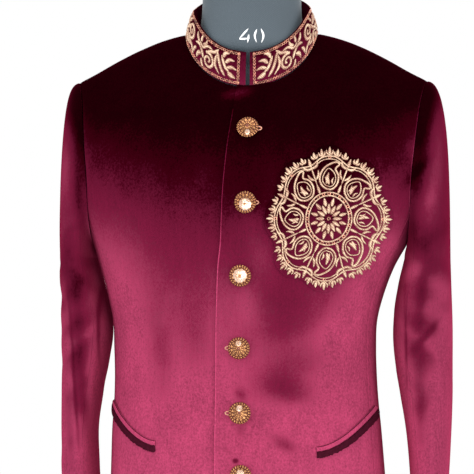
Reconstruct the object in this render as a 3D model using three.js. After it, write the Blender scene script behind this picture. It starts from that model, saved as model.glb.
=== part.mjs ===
// A velvet stand-collar jacket (bandhgala) buttoned on a limbless dress form with a round base.
// Millimetres, +Z up. The front faces -Y and the wearer's left is +X. The origin is the middle of the
// base's underside.

import * as THREE from "three";

// Cloth
const WALL = 2;
const SEAM = 0.3;
const LAP_LIFT = 3.4;
const TRIM_LIFT = 1;

// Heights
const HEM_HEIGHT = 715;
const CUFF_HEIGHT = 760;
const BICEP_HEIGHT = 1160;
const CHEST_HEIGHT = 1182;
const SHOULDER_TIP_HEIGHT = 1389;
const NECK_SIDE_HEIGHT = 1452;

// Body sections
const SECTION_POWER = 2.5;
const SHOULDER_ROUND = 110;
const NECK_HALF_WIDTH = 85;
const NECK_FRONT_DROP = 72;
const NAPE_HEIGHT = 1458;
const NAPE_DEPTH_SHARE = 0.8;
const NECK_DROP_BEND = 1.12;

// Armholes and side seams, as degrees round the body from the centre front
const SIDE_SEAM = 69;
const ARMHOLE_HALF_SPREAD = 29;
const ARMHOLE_TIP_SPREAD = 20.7;

// Collar
const COLLAR_WALL = 2.4;
const COLLAR_HEIGHT_FRONT = 45;
const COLLAR_HEIGHT_SIDE = 41;
const COLLAR_HEIGHT_BACK = 50;
const COLLAR_SIDE_DIP = 8;
const COLLAR_DIP_SPREAD = 24;
const COLLAR_TAPER = 0.88;
const COLLAR_GAP_LEFT = 2.6;
const COLLAR_GAP_RIGHT = 2.8;

// Buttons
const BUTTON_RADIUS = 13.8;
const BUTTON_RISE = 7.5;
const BUTTON_ACROSS = 3.5;
const BUTTON_HEIGHTS = [1324, 1231, 1140, 1048, 966, 888];

// Pockets
const POCKET_INNER = { left: 98, right: 106 };
const POCKET_OUTER = 171;
const POCKET_LOW = { left: 918, right: 924 };
const POCKET_RISE = 50;
const POCKET_BEND = 1.8;
const UPPER_WELT_WIDTH = 6;
const LOWER_WELT_WIDTH = 8.2;
const WELT_RISE = 2;

// Chest motif
const MOTIF_ACROSS = 107;
const MOTIF_HEIGHT = 1211;
const MOTIF_HALF_WIDTH = 79;
const MOTIF_HALF_LENGTH = 92;
const MOTIF_PETALS = 8;
const MOTIF_LIFT = 1.6;

// Dress form
const FORM_CLEARANCE = 8;
const FORM_BOTTOM = 655;
const POLE_RADIUS = 15;
const BASE_RADIUS = 195;
const BASE_THICKNESS = 18;

// Each table holds one row for each section; the first column is what the others are looked up by.
function table(columns, rows) {
  return { columns, rows };
}

const BODY = table(["height", "half", "front", "back", "lean"], [
  [HEM_HEIGHT, 190, 140, 133, 0],
  [790, 185, 138, 132, -2],
  [870, 178, 134, 128, -5],
  [905, 176, 132, 124, -6],
  [940, 174, 129, 118, -7],
  [975, 171, 125, 109, -7.5],
  [1010, 169.5, 121, 101, -8.2],
  [1045, 169.5, 119.5, 97, -9],
  [1080, 171, 120.5, 98.5, -9],
  [1115, 179, 123, 104, -8],
  [1150, 190.5, 126, 111, -6],
  [CHEST_HEIGHT, 204.5, 128, 116, -2],
  [1214, 218, 128, 120, -0.5],
  [1240, 226, 126, 122, 0],
  [1285, 234, 117, 121, 0.5],
  [1330, 238, 100, 115, 0.5],
  [1355, 239, 89, 110, 0.5],
  [1380, 240, 76, 103, 0.5],
  [1402, 240.5, 63, 96, 0.5],
  [1425, 241, 54, 86, 0.5],
  [1456, 242, 50, 73, 0],
  [1505, 244, 50, 62, 0],
]);

const SHOULDER_LINE = table(["across", "height"], [
  [0, 1453],
  [60, 1453],
  [NECK_HALF_WIDTH, NECK_SIDE_HEIGHT],
  [117, 1444],
  [145, 1433],
  [175, 1418],
  [205, 1401],
  [228, SHOULDER_TIP_HEIGHT],
  [250, 1376],
]);

const FRONT_EDGE = table(["height", "lap", "underlap"], [
  [HEM_HEIGHT, -33, -14],
  [878, -30, -14],
  [1100, -26, -14],
  [1230, -27, -14],
  [1300, -23, -14],
  [1345, -17.5, -8],
  [1381, -13.5, -1],
]);

const SLEEVE_LEFT = table(["height", "outer", "inner", "depth", "middle"], [
  [CUFF_HEIGHT, 246, 206, 56, -14],
  [850, 253, 208, 61, -12],
  [895, 256, 206, 63, -9],
  [940, 258.5, 201.5, 65, -6],
  [985, 260, 194, 67, -3],
  [1030, 260, 187, 69, 0],
  [1075, 259.5, 184.5, 71, 2],
  [1120, 258, 190, 73, 3],
  [BICEP_HEIGHT, 257, 199.5, 75, 3],
]);

const SLEEVE_RIGHT = table(["height", "outer", "inner", "depth", "middle"], [
  [CUFF_HEIGHT, 240, 198, 56, -14],
  [850, 244, 200.5, 61, -12],
  [895, 246.5, 203, 63, -9],
  [940, 247, 204.5, 65, -6],
  [985, 247.7, 198.5, 67, -3],
  [1030, 248.3, 190.5, 69, 0],
  [1075, 249, 185, 71, 2],
  [1120, 250, 196, 73, 3],
  [BICEP_HEIGHT, 250.5, 207.5, 75, 3],
]);

const FORM_NECK = table(["height", "half", "depth", "middle"], [
  [1425, 82, 52, -2],
  [1440, 74, 54, -5],
  [1456, 68, 52.5, -5],
  [1480, 65, 52, -5],
  [1510, 64, 52, -5],
  [1538, 63, 51, -5],
  [1545, 58, 46, -5],
]);

const FORM_SHOULDER = table(["height", "half", "front", "back"], [
  [CHEST_HEIGHT, 195, 118, 106],
  [1240, 200, 116, 110],
  [1300, 203, 101, 107],
  [1345, 203, 79, 96],
  [1375, 196, 62, 80],
  [1395, 172, 50, 70],
  [1410, 138, 43, 62],
]);

const FOLDS = table(["across", "height", "turn", "length", "width", "rise"], [
  [62, 1062, 12, 60, 12, 1.6],
  [118, 1030, 40, 90, 16, 1.8],
  [-120, 1075, -24, 80, 16, 1.6],
  [-70, 1010, -34, 85, 16, 1.5],
  [150, 1150, 58, 70, 12, 1.5],
  [-158, 1150, -58, 70, 12, 1.5],
]);

const SLEEVE_FOLDS = table(["turn", "height", "slant", "width", "rise"], [
  [60, 1120, 0.32, 14, 2.6],
  [75, 1082, 0.26, 12, 2.2],
  [70, 1040, 0.3, 13, 2.4],
  [95, 985, -0.24, 13, 1.8],
  [235, 1060, -0.3, 15, 2.2],
  [250, 1010, 0.25, 14, 2],
]);

const COLOURS = {
  velvet: 0x8a2a52,
  lapel: 0x6e1437,
  welt: 0x4a0a22,
  brass: 0xc8965a,
  thread: 0xe4cb9c,
  form: 0x4d5b63,
  steel: 0x2e3134,
};

const PANEL_COLUMNS = 9;
const SIDE_COLUMNS = 4;
const ARMHOLE_ROWS = 9;
const NECK_ROWS = 6;
const CAP_ROWS = 6;
const SLEEVE_SEAM_COLUMN = 8;
const LOWER_HEIGHTS = [1150, 1115, 1080, 1045, 1010, 975, 940, 905, 870, 830, 792, 754, HEM_HEIGHT];
const SLEEVE_HEIGHTS = [1120, 1080, 1040, 1000, 960, 915, 865, 812, CUFF_HEIGHT];

// Looks a column up at a key, along a smooth curve through the table's rows.
function lookUp(source, column, key) {
  const { columns, rows } = source;
  const index = columns.indexOf(column);
  const last = rows.length - 1;
  const held = THREE.MathUtils.clamp(key, rows[0][0], rows[last][0]);
  let low = 0;
  while (low < last - 1 && rows[low + 1][0] < held) {
    low += 1;
  }
  const slopeAt = (row) => {
    const before = rows[Math.max(row - 1, 0)];
    const after = rows[Math.min(row + 1, last)];
    return (after[index] - before[index]) / (after[0] - before[0]);
  };
  const span = rows[low + 1][0] - rows[low][0];
  const t = (held - rows[low][0]) / span;
  const start = (1 + 2 * t) * (1 - t) ** 2 * rows[low][index];
  const startSlope = t * (1 - t) ** 2 * span * slopeAt(low);
  const end = t * t * (3 - 2 * t) * rows[low + 1][index];
  const endSlope = t * t * (t - 1) * span * slopeAt(low + 1);
  return start + startSlope + end + endSlope;
}

function slopeOf(source, column, key) {
  const step = 0.5;
  return (lookUp(source, column, key + step) - lookUp(source, column, key - step)) / (2 * step);
}

function radians(degrees) {
  return THREE.MathUtils.degToRad(degrees);
}

function signedPower(value, power) {
  return Math.sign(value) * Math.abs(value) ** power;
}

// The body's surface. "across" is measured from the leaning centre line and "facing" is "front" or "back".
function ridgeHeight(across, facing) {
  const inward = Math.abs(across) / NECK_HALF_WIDTH;
  const line = lookUp(SHOULDER_LINE, "height", Math.abs(across));
  if (facing === "front" || inward >= 1) {
    return line;
  }
  const share = 1 - inward * inward;
  return napeHeight(share) + napeDrop(share);
}

// The back neckline climbs to the nape. Its share runs from 0 at the shoulder line to 1 at the middle.
function napeHeight(share) {
  return NECK_SIDE_HEIGHT + (NAPE_HEIGHT - NECK_SIDE_HEIGHT) * share;
}

function napeDrop(share) {
  return SHOULDER_ROUND * (1 - Math.sqrt(1 - NAPE_DEPTH_SHARE ** 2 * share));
}

function ridgeSlope(across, facing) {
  const step = 0.5;
  return (ridgeHeight(across + step, facing) - ridgeHeight(across - step, facing)) / (2 * step);
}

function foldRise(across, height) {
  return FOLDS.rows.reduce((sum, [middle, level, turn, length, width, rise]) => {
    const along = (across - middle) * Math.cos(radians(turn)) + (height - level) * Math.sin(radians(turn));
    const beside = (height - level) * Math.cos(radians(turn)) - (across - middle) * Math.sin(radians(turn));
    return sum + rise * Math.exp(-((along / length) ** 2) * 4 - (beside / width) ** 2);
  }, 0);
}

function bodyPoint(across, height, facing) {
  const half = lookUp(BODY, "half", height);
  const reach = Math.min(Math.abs(across) / half, 1);
  const fullDepth = lookUp(BODY, facing, height);
  const drop = Math.max(ridgeHeight(across, facing) - height, 1e-4);
  const rounding = Math.min(drop / SHOULDER_ROUND, 1);
  const shoulder = Math.sqrt(1 - (1 - rounding) ** 2);
  const depthShare = (1 - reach ** SECTION_POWER) ** (1 / SECTION_POWER);
  const sign = facing === "front" ? -1 : 1;
  const depth = fullDepth * depthShare * shoulder;

  const depthTerm = depthShare ** SECTION_POWER;
  const shoulderChange = rounding < 1 ? (1 - rounding) / (SHOULDER_ROUND * shoulder * shoulder) : 0;
  const halfChange = slopeOf(BODY, "half", height) / half;
  const depthChange = slopeOf(BODY, facing, height) / fullDepth;
  const normal = new THREE.Vector3(
    Math.sign(across) * reach ** (SECTION_POWER - 1) / half
      - depthTerm * shoulderChange * ridgeSlope(across, facing),
    sign * depthShare ** (SECTION_POWER - 1) / (fullDepth * shoulder),
    -(reach ** SECTION_POWER) * halfChange - depthTerm * (depthChange - shoulderChange),
  ).normalize();

  const lean = lookUp(BODY, "lean", height);
  const point = new THREE.Vector3(lean + across, sign * depth, height);
  const fold = facing === "front" ? foldRise(across, height) * depthShare : 0;
  point.addScaledVector(normal, fold);
  return { point, normal, across };
}

// A point at an angle round the body: 0 is the centre front, 90 the side and 180 the centre back.
function turnedPoint(side, turn, height) {
  const facing = turn <= 90 ? "front" : "back";
  const half = lookUp(BODY, "half", height);
  const across = side * half * Math.sin(radians(turn)) ** (2 / SECTION_POWER);
  return bodyPoint(across, height, facing);
}

function turnOf(across, half) {
  return THREE.MathUtils.radToDeg(Math.asin(signedPower(across / half, SECTION_POWER / 2)));
}

// The armhole's edge, at an angle from the shoulder tip (0) over the front (90) to the underarm (180).
function armholeTurn(angle) {
  const swing = Math.abs(Math.sin(radians(angle)));
  const fromTop = ARMHOLE_TIP_SPREAD + (ARMHOLE_HALF_SPREAD - ARMHOLE_TIP_SPREAD) * swing;
  const fromBottom = ARMHOLE_HALF_SPREAD * swing;
  const spread = Math.cos(radians(angle)) > 0 ? fromTop : fromBottom;
  return angle <= 180 ? 90 - spread : 90 + spread;
}

function armholeHeight(angle) {
  const middle = (SHOULDER_TIP_HEIGHT + CHEST_HEIGHT) / 2;
  return middle + (SHOULDER_TIP_HEIGHT - middle) * Math.cos(radians(angle));
}

const SEAM_ANGLE = 180 - THREE.MathUtils.radToDeg(Math.asin((90 - SIDE_SEAM) / ARMHOLE_HALF_SPREAD));

function armholeAngles() {
  const angles = [];
  for (let row = 0; row <= ARMHOLE_ROWS; row += 1) {
    angles.push(SEAM_ANGLE * row / ARMHOLE_ROWS);
  }
  for (let column = 1; column < SIDE_COLUMNS; column += 1) {
    angles.push(SEAM_ANGLE + (360 - 2 * SEAM_ANGLE) * column / SIDE_COLUMNS);
  }
  for (let row = ARMHOLE_ROWS; row > 0; row -= 1) {
    angles.push(360 - SEAM_ANGLE * row / ARMHOLE_ROWS);
  }
  return angles;
}

// Share of the way down from the shoulder line to the chest, squared so that rows start round the ridge.
function dropShare(across, height, facing) {
  const ridge = ridgeHeight(across, facing);
  return Math.sqrt(Math.max(ridge - height, 0) / (ridge - CHEST_HEIGHT));
}

function yokePoint(across, share, facing) {
  const ridge = ridgeHeight(across, facing);
  return bodyPoint(across, ridge - (ridge - CHEST_HEIGHT) * share * share, facing);
}

// The neckline's edge, at an angle from the shoulder line (0) to the centre front or back (90).
function necklineAt(angle, facing) {
  const across = NECK_HALF_WIDTH * Math.cos(radians(angle));
  const dip = Math.sin(radians(angle));
  const height = facing === "front"
    ? NECK_SIDE_HEIGHT - NECK_FRONT_DROP * dip ** NECK_DROP_BEND
    : napeHeight(dip * dip);
  return { across, height };
}

function collarEndAngle(side) {
  const gap = side > 0 ? COLLAR_GAP_LEFT : COLLAR_GAP_RIGHT;
  return THREE.MathUtils.radToDeg(Math.acos(gap / NECK_HALF_WIDTH));
}

function necklineAngles(side, facing) {
  const steps = [...Array(NECK_ROWS + 1).keys()];
  if (facing === "back") {
    return steps.map((row) => 90 * row / NECK_ROWS);
  }
  const edge = lookUp(FRONT_EDGE, side > 0 ? "lap" : "underlap", NECK_SIDE_HEIGHT);
  const corner = THREE.MathUtils.radToDeg(Math.acos(edge / NECK_HALF_WIDTH));
  const last = NECK_ROWS - 1;
  return steps.map((row) => (row > last ? corner : collarEndAngle(side) * row / last));
}

const RIDGE_SHARE = 0.0014;
const SEAM_TURN = 0.07;

// The upper rows of a front or back panel run from the neckline to the armhole.
function yokeRows(side, facing) {
  const angles = necklineAngles(side, facing);
  const neckCorner = necklineAt(angles[NECK_ROWS], facing);
  const edgeColumn = side > 0 ? "lap" : "underlap";
  const rows = [];
  for (let row = 0; row <= ARMHOLE_ROWS; row += 1) {
    const angle = SEAM_ANGLE * row / ARMHOLE_ROWS;
    const outerHeight = armholeHeight(angle);
    const outerHalf = lookUp(BODY, "half", outerHeight);
    const trim = row === ARMHOLE_ROWS ? SEAM_TURN : 0;
    const outer = outerHalf * Math.sin(radians(armholeTurn(angle) - trim)) ** (2 / SECTION_POWER);
    let inner = neckCorner;
    if (row <= NECK_ROWS) {
      inner = necklineAt(angles[row], facing);
    } else {
      const level = armholeHeight(SEAM_ANGLE) + 8;
      const share = (row - NECK_ROWS) / (ARMHOLE_ROWS - NECK_ROWS);
      const height = neckCorner.height + (level - neckCorner.height) * share;
      const across = facing === "front" ? lookUp(FRONT_EDGE, edgeColumn, height) : SEAM / 2;
      inner = { across, height };
    }
    const innerAcross = facing === "back" ? Math.max(inner.across, SEAM / 2) : inner.across;
    const innerShare = Math.max(dropShare(innerAcross, inner.height, facing), RIDGE_SHARE);
    const outerShare = Math.max(dropShare(outer, outerHeight, facing), RIDGE_SHARE);
    const points = [];
    for (let column = 0; column <= PANEL_COLUMNS; column += 1) {
      const u = column / PANEL_COLUMNS;
      const share = row === 0 ? RIDGE_SHARE : innerShare + (outerShare - innerShare) * u;
      const across = innerAcross + (outer - innerAcross) * u;
      points.push(yokePoint(side * across, share, facing));
    }
    rows.push(points);
  }
  return rows;
}

function lowerRow(side, facing, height) {
  const half = lookUp(BODY, "half", height);
  const edgeColumn = side > 0 ? "lap" : "underlap";
  const edge = facing === "front" ? lookUp(FRONT_EDGE, edgeColumn, height) : SEAM / 2;
  const start = turnOf(edge, half);
  const end = SIDE_SEAM - SEAM_TURN;
  const points = [];
  for (let column = 0; column <= PANEL_COLUMNS; column += 1) {
    const turn = start + (end - start) * column / PANEL_COLUMNS;
    const across = side * half * signedPower(Math.sin(radians(turn)), 2 / SECTION_POWER);
    points.push(bodyPoint(across, height, facing));
  }
  return points;
}

function panelRows(side, facing) {
  const lower = [CHEST_HEIGHT, ...LOWER_HEIGHTS].map((height) => lowerRow(side, facing, height));
  return [...yokeRows(side, facing), ...lower];
}

function sideRows(side) {
  const turns = [];
  const tops = [];
  for (let column = 0; column <= SIDE_COLUMNS; column += 1) {
    const angle = SEAM_ANGLE + (360 - 2 * SEAM_ANGLE) * column / SIDE_COLUMNS;
    const trim = column === 0 ? SEAM_TURN : column === SIDE_COLUMNS ? -SEAM_TURN : 0;
    turns.push(armholeTurn(angle) + trim);
    tops.push(armholeHeight(angle));
  }
  const first = LOWER_HEIGHTS[0];
  const seamTop = tops[0];
  const half = (CHEST_HEIGHT - first) / (seamTop - first);
  const top = turns.map((turn, i) => turnedPoint(side, turn, tops[i]));
  const second = turns.map((turn, i) => turnedPoint(side, turn, first + (tops[i] - first) * half));
  const rest = LOWER_HEIGHTS.map((height) => turns.map((turn) => turnedPoint(side, turn, height)));
  return [top, second, ...rest];
}

// Closed solids from rows of points. Each row's point is moved out along its normal for the outer face
// and to the wall's inner face for the inner one.
function addQuad(indices, a, b, c, d) {
  indices.push(a, b, c, a, c, d);
}

function solidFrom(positions, indices) {
  const geometry = new THREE.BufferGeometry();
  geometry.setAttribute("position", new THREE.Float32BufferAttribute(positions, 3));
  let volume = 0;
  const corner = (index) => new THREE.Vector3().fromArray(positions, 3 * index);
  for (let i = 0; i < indices.length; i += 3) {
    const [a, b, c] = [corner(indices[i]), corner(indices[i + 1]), corner(indices[i + 2])];
    volume += a.dot(b.cross(c));
  }
  geometry.setIndex(volume < 0 ? indices.toReversed() : indices);
  geometry.computeVertexNormals();
  return geometry;
}

function shell(rows, outerRise, innerRise) {
  const positions = [];
  const indices = [];
  const rowCount = rows.length;
  const columnCount = rows[0].length;
  [outerRise, innerRise].forEach((rise) => {
    rows.forEach((row, r) => row.forEach((spot, c) => {
      const moved = spot.point.clone().addScaledVector(spot.normal, rise(spot, r, c));
      positions.push(moved.x, moved.y, moved.z);
    }));
  });
  const at = (layer, r, c) => layer * rowCount * columnCount + r * columnCount + c;
  for (let r = 0; r < rowCount - 1; r += 1) {
    for (let c = 0; c < columnCount - 1; c += 1) {
      addQuad(indices, at(0, r, c), at(0, r + 1, c), at(0, r + 1, c + 1), at(0, r, c + 1));
      addQuad(indices, at(1, r, c), at(1, r, c + 1), at(1, r + 1, c + 1), at(1, r + 1, c));
    }
  }
  const lastRow = rowCount - 1;
  const lastColumn = columnCount - 1;
  for (let r = 0; r < lastRow; r += 1) {
    addQuad(indices, at(0, r, 0), at(1, r, 0), at(1, r + 1, 0), at(0, r + 1, 0));
    const end = lastColumn;
    addQuad(indices, at(0, r, end), at(0, r + 1, end), at(1, r + 1, end), at(1, r, end));
  }
  for (let c = 0; c < lastColumn; c += 1) {
    addQuad(indices, at(0, 0, c), at(0, 0, c + 1), at(1, 0, c + 1), at(1, 0, c));
    addQuad(indices, at(0, lastRow, c), at(1, lastRow, c), at(1, lastRow, c + 1), at(0, lastRow, c + 1));
  }
  return solidFrom(positions, indices);
}

function wall(rows, lift = () => 0) {
  const outer = (spot) => WALL / 2 + lift(spot);
  const inner = (spot) => lift(spot) - WALL / 2;
  return shell(rows, outer, inner);
}

function lapLift(spot) {
  const share = 1 - THREE.MathUtils.smoothstep(spot.across, 18, 40);
  return LAP_LIFT * share;
}

// A loft through rings of points, closed by a flat face at each end.
function loft(rings) {
  const positions = [];
  const indices = [];
  const count = rings[0].length;
  rings.forEach((ring) => ring.forEach((point) => positions.push(point.x, point.y, point.z)));
  for (let r = 0; r < rings.length - 1; r += 1) {
    for (let c = 0; c < count; c += 1) {
      const next = (c + 1) % count;
      addQuad(indices, r * count + c, r * count + next, (r + 1) * count + next, (r + 1) * count + c);
    }
  }
  const last = (rings.length - 1) * count;
  for (let c = 1; c < count - 1; c += 1) {
    indices.push(0, c + 1, c);
    indices.push(last, last + c, last + c + 1);
  }
  return solidFrom(positions, indices);
}

// Sleeves
function armholeLoop(side) {
  const spots = armholeAngles().map((angle) => {
    const height = armholeHeight(angle);
    const spot = angle === 0
      ? bodyPoint(side * 228, SHOULDER_TIP_HEIGHT, "front")
      : turnedPoint(side, armholeTurn(angle), height);
    return { ...spot, angle };
  });
  const centre = spots.reduce((sum, spot) => sum.add(spot.point), new THREE.Vector3());
  centre.divideScalar(spots.length);
  spots.forEach((spot, i) => {
    const before = spots[(i + spots.length - 1) % spots.length].point;
    const after = spots[(i + 1) % spots.length].point;
    const along = after.clone().sub(before);
    const into = new THREE.Vector3().crossVectors(spot.normal, along).normalize();
    const towards = centre.clone().sub(spot.point);
    spot.into = into.dot(towards) < 0 ? into.negate() : into;
  });
  return spots;
}

function sleeveRingPoint(side, angle, height) {
  const sizes = side > 0 ? SLEEVE_LEFT : SLEEVE_RIGHT;
  const outer = lookUp(sizes, "outer", height);
  const inner = lookUp(sizes, "inner", height);
  const x = (outer + inner) / 2 + (outer - inner) / 2 * signedPower(Math.cos(radians(angle)), 0.9);
  const depth = lookUp(sizes, "depth", height) * signedPower(Math.sin(radians(angle)), 0.9);
  return new THREE.Vector3(side * x, lookUp(sizes, "middle", height) - depth, height);
}

function sleeveFold(angle, height) {
  return SLEEVE_FOLDS.rows.reduce((sum, [turn, level, slant, width, rise]) => {
    const away = (height - level - slant * (angle - turn)) / width;
    const fade = (angle - turn) / 48;
    return sum + rise * Math.exp(-away * away - fade * fade);
  }, 0);
}

function sleeveStart(spot, side) {
  const angle = radians(spot.angle);
  const under = Math.max(-Math.cos(angle), 0);
  const heading = new THREE.Vector3(side * (1 - 0.5 * under), -0.35 * Math.sin(angle), -0.12 - 0.75 * under);
  heading.normalize();
  const outward = heading.dot(spot.normal);
  const onward = heading.dot(spot.into);
  const start = spot.point.clone();
  if (onward >= 0) {
    start.addScaledVector(heading, SEAM + 0.1 + outward * WALL / 2);
  } else {
    start.addScaledVector(spot.normal, SEAM + 0.1 + WALL / 2 - onward * WALL / 2);
  }
  return { start, heading };
}

// Every sleeve point lies on one tube: a cap curved from the armhole to the upper arm, then rings.
function sleeveTube(side) {
  const loop = armholeLoop(side);
  const rows = [];
  for (let row = 0; row <= CAP_ROWS; row += 1) {
    const t = row / CAP_ROWS;
    rows.push(loop.map((spot) => {
      const { start, heading } = sleeveStart(spot, side);
      const end = sleeveRingPoint(side, spot.angle, BICEP_HEIGHT);
      const cosine = Math.cos(radians(spot.angle));
      const fullness = Math.max(cosine, 0) ** 2;
      const reach = 10.5 + 7.5 * cosine + 4 * fullness;
      const leave = start.clone().addScaledVector(heading, reach);
      const arrive = end.clone();
      arrive.z += (0.6 + 0.04 * fullness) * (start.z - end.z);
      const curve = new THREE.CubicBezierCurve3(start, leave, arrive, end);
      return { point: curve.getPoint(t), angle: spot.angle };
    }));
  }
  SLEEVE_HEIGHTS.forEach((height) => {
    rows.push(loop.map((spot) => {
      return { point: sleeveRingPoint(side, spot.angle, height), angle: spot.angle };
    }));
  });
  return addTubeNormals(rows, side);
}

function addTubeNormals(rows, side) {
  const count = rows[0].length;
  rows.forEach((row, r) => row.forEach((spot, c) => {
    const above = rows[Math.max(r - 1, 0)][c].point;
    const below = rows[Math.min(r + 1, rows.length - 1)][c].point;
    const before = row[(c + count - 1) % count].point;
    const after = row[(c + 1) % count].point;
    const down = below.clone().sub(above);
    const round = after.clone().sub(before);
    spot.normal = new THREE.Vector3().crossVectors(down, round).normalize().multiplyScalar(side);
  }));
  rows.forEach((row, r) => row.forEach((spot) => {
    const fade = THREE.MathUtils.clamp((r - 2) / 4, 0, 1);
    spot.fold = fade * sleeveFold(spot.angle, spot.point.z);
  }));
  return rows;
}

// Half a sleeve's columns, from one seam to the other, with half a seam's gap left at each.
function sleevePiece(rows, first, last) {
  const count = rows[0].length;
  return rows.map((row) => {
    const picked = [];
    for (let column = first; column <= last; column += 1) {
      const spot = row[(column + count) % count];
      picked.push({ point: spot.point.clone(), normal: spot.normal, fold: spot.fold });
    }
    const ends = [[0, 1], [picked.length - 1, picked.length - 2]];
    ends.forEach(([end, neighbour]) => {
      const inward = picked[neighbour].point.clone().sub(picked[end].point).normalize();
      picked[end].point.addScaledVector(inward, SEAM / 2 + 0.05);
    });
    return picked;
  });
}

function sleeveWall(rows) {
  return wall(rows, (spot) => spot.fold);
}

// Collar
function collarColumns() {
  const quarter = (side, facing) => {
    const angles = necklineAngles(side, facing);
    return angles.map((angle) => {
      const { across, height } = necklineAt(angle, facing);
      const share = Math.max(dropShare(across, height, facing), RIDGE_SHARE);
      const spot = yokePoint(side * across, share, facing);
      return { ...spot, angle: facing === "front" ? angle : 180 - angle };
    });
  };
  const frontCount = NECK_ROWS;
  const leftFront = quarter(1, "front").slice(0, frontCount).reverse();
  const leftBack = quarter(1, "back").slice(1);
  const rightBack = quarter(-1, "back").slice(1, NECK_ROWS).reverse();
  const rightFront = quarter(-1, "front").slice(0, frontCount);
  return [...leftFront, ...leftBack, ...rightBack, ...rightFront];
}

function collarRows() {
  const rows = [];
  const steps = 4;
  const columns = collarColumns();
  for (let row = 0; row <= steps; row += 1) {
    const t = row / steps;
    rows.push(columns.map((spot) => {
      const back = spot.point.y > 0 ? spot.point.y / 58 : 0;
      const front = spot.point.y < 0 ? -spot.point.y / 70 : 0;
      const dip = COLLAR_SIDE_DIP * Math.exp(-((spot.point.y / COLLAR_DIP_SPREAD) ** 2));
      const rise = COLLAR_HEIGHT_SIDE + (COLLAR_HEIGHT_BACK - COLLAR_HEIGHT_SIDE) * back
        + (COLLAR_HEIGHT_FRONT - COLLAR_HEIGHT_SIDE) * front - dip;
      const rim = new THREE.Vector3(
        spot.point.x * COLLAR_TAPER,
        spot.point.y * (COLLAR_TAPER + 0.03),
        spot.point.z + rise,
      );
      const up = rim.clone().sub(spot.point).normalize();
      const clear = SEAM + 0.5 + Math.abs(up.dot(spot.normal)) * WALL / 2;
      const start = spot.point.clone().addScaledVector(up, clear);
      const point = start.lerp(rim, t);
      return { point };
    }));
  }
  rows.forEach((row, r) => row.forEach((spot, c) => {
    const before = row[Math.max(c - 1, 0)].point;
    const after = row[Math.min(c + 1, row.length - 1)].point;
    const lower = rows[Math.max(r - 1, 0)][c].point;
    const upper = rows[Math.min(r + 1, steps)][c].point;
    const round = after.clone().sub(before);
    const rise = upper.clone().sub(lower);
    spot.normal = new THREE.Vector3().crossVectors(round, rise).normalize();
  }));
  return rows;
}

function collarWall() {
  return shell(collarRows(), () => COLLAR_WALL / 2, () => -COLLAR_WALL / 2);
}

// Pockets: two curved welts that run from the side down to the front.
function pocketHeight(across, name) {
  const share = (across - POCKET_INNER[name]) / (POCKET_OUTER - POCKET_INNER[name]);
  return POCKET_LOW[name] + POCKET_RISE * share ** POCKET_BEND;
}

function weltRows(side, upper) {
  const name = side > 0 ? "left" : "right";
  const inner = POCKET_INNER[name];
  const width = upper ? UPPER_WELT_WIDTH : LOWER_WELT_WIDTH;
  const stations = 12;
  const strands = 3;
  const rows = [];
  for (let station = 0; station <= stations; station += 1) {
    const across = inner + (POCKET_OUTER - inner) * station / stations;
    const middle = pocketHeight(across, name);
    const step = 0.5;
    const before = pocketHeight(Math.max(across - step, inner), name);
    const slope = (pocketHeight(across + step, name) - before) / (2 * step);
    const length = Math.hypot(1, slope);
    const points = [];
    for (let strand = 0; strand <= strands; strand += 1) {
      const away = (SEAM + (width - SEAM) * strand / strands) * (upper ? 1 : -1);
      const half = lookUp(BODY, "half", middle);
      const outwards = Math.min(across - away * slope / length, half - 1);
      points.push(bodyPoint(side * outwards, middle + away / length, "front"));
    }
    rows.push(points);
  }
  return rows;
}

function welt(side, upper) {
  const bottom = WALL / 2 + TRIM_LIFT;
  const crown = [0.7, 1, 1, 0.7];
  return shell(weltRows(side, upper), (spot, r, c) => bottom + WELT_RISE * crown[c], () => bottom);
}

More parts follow.
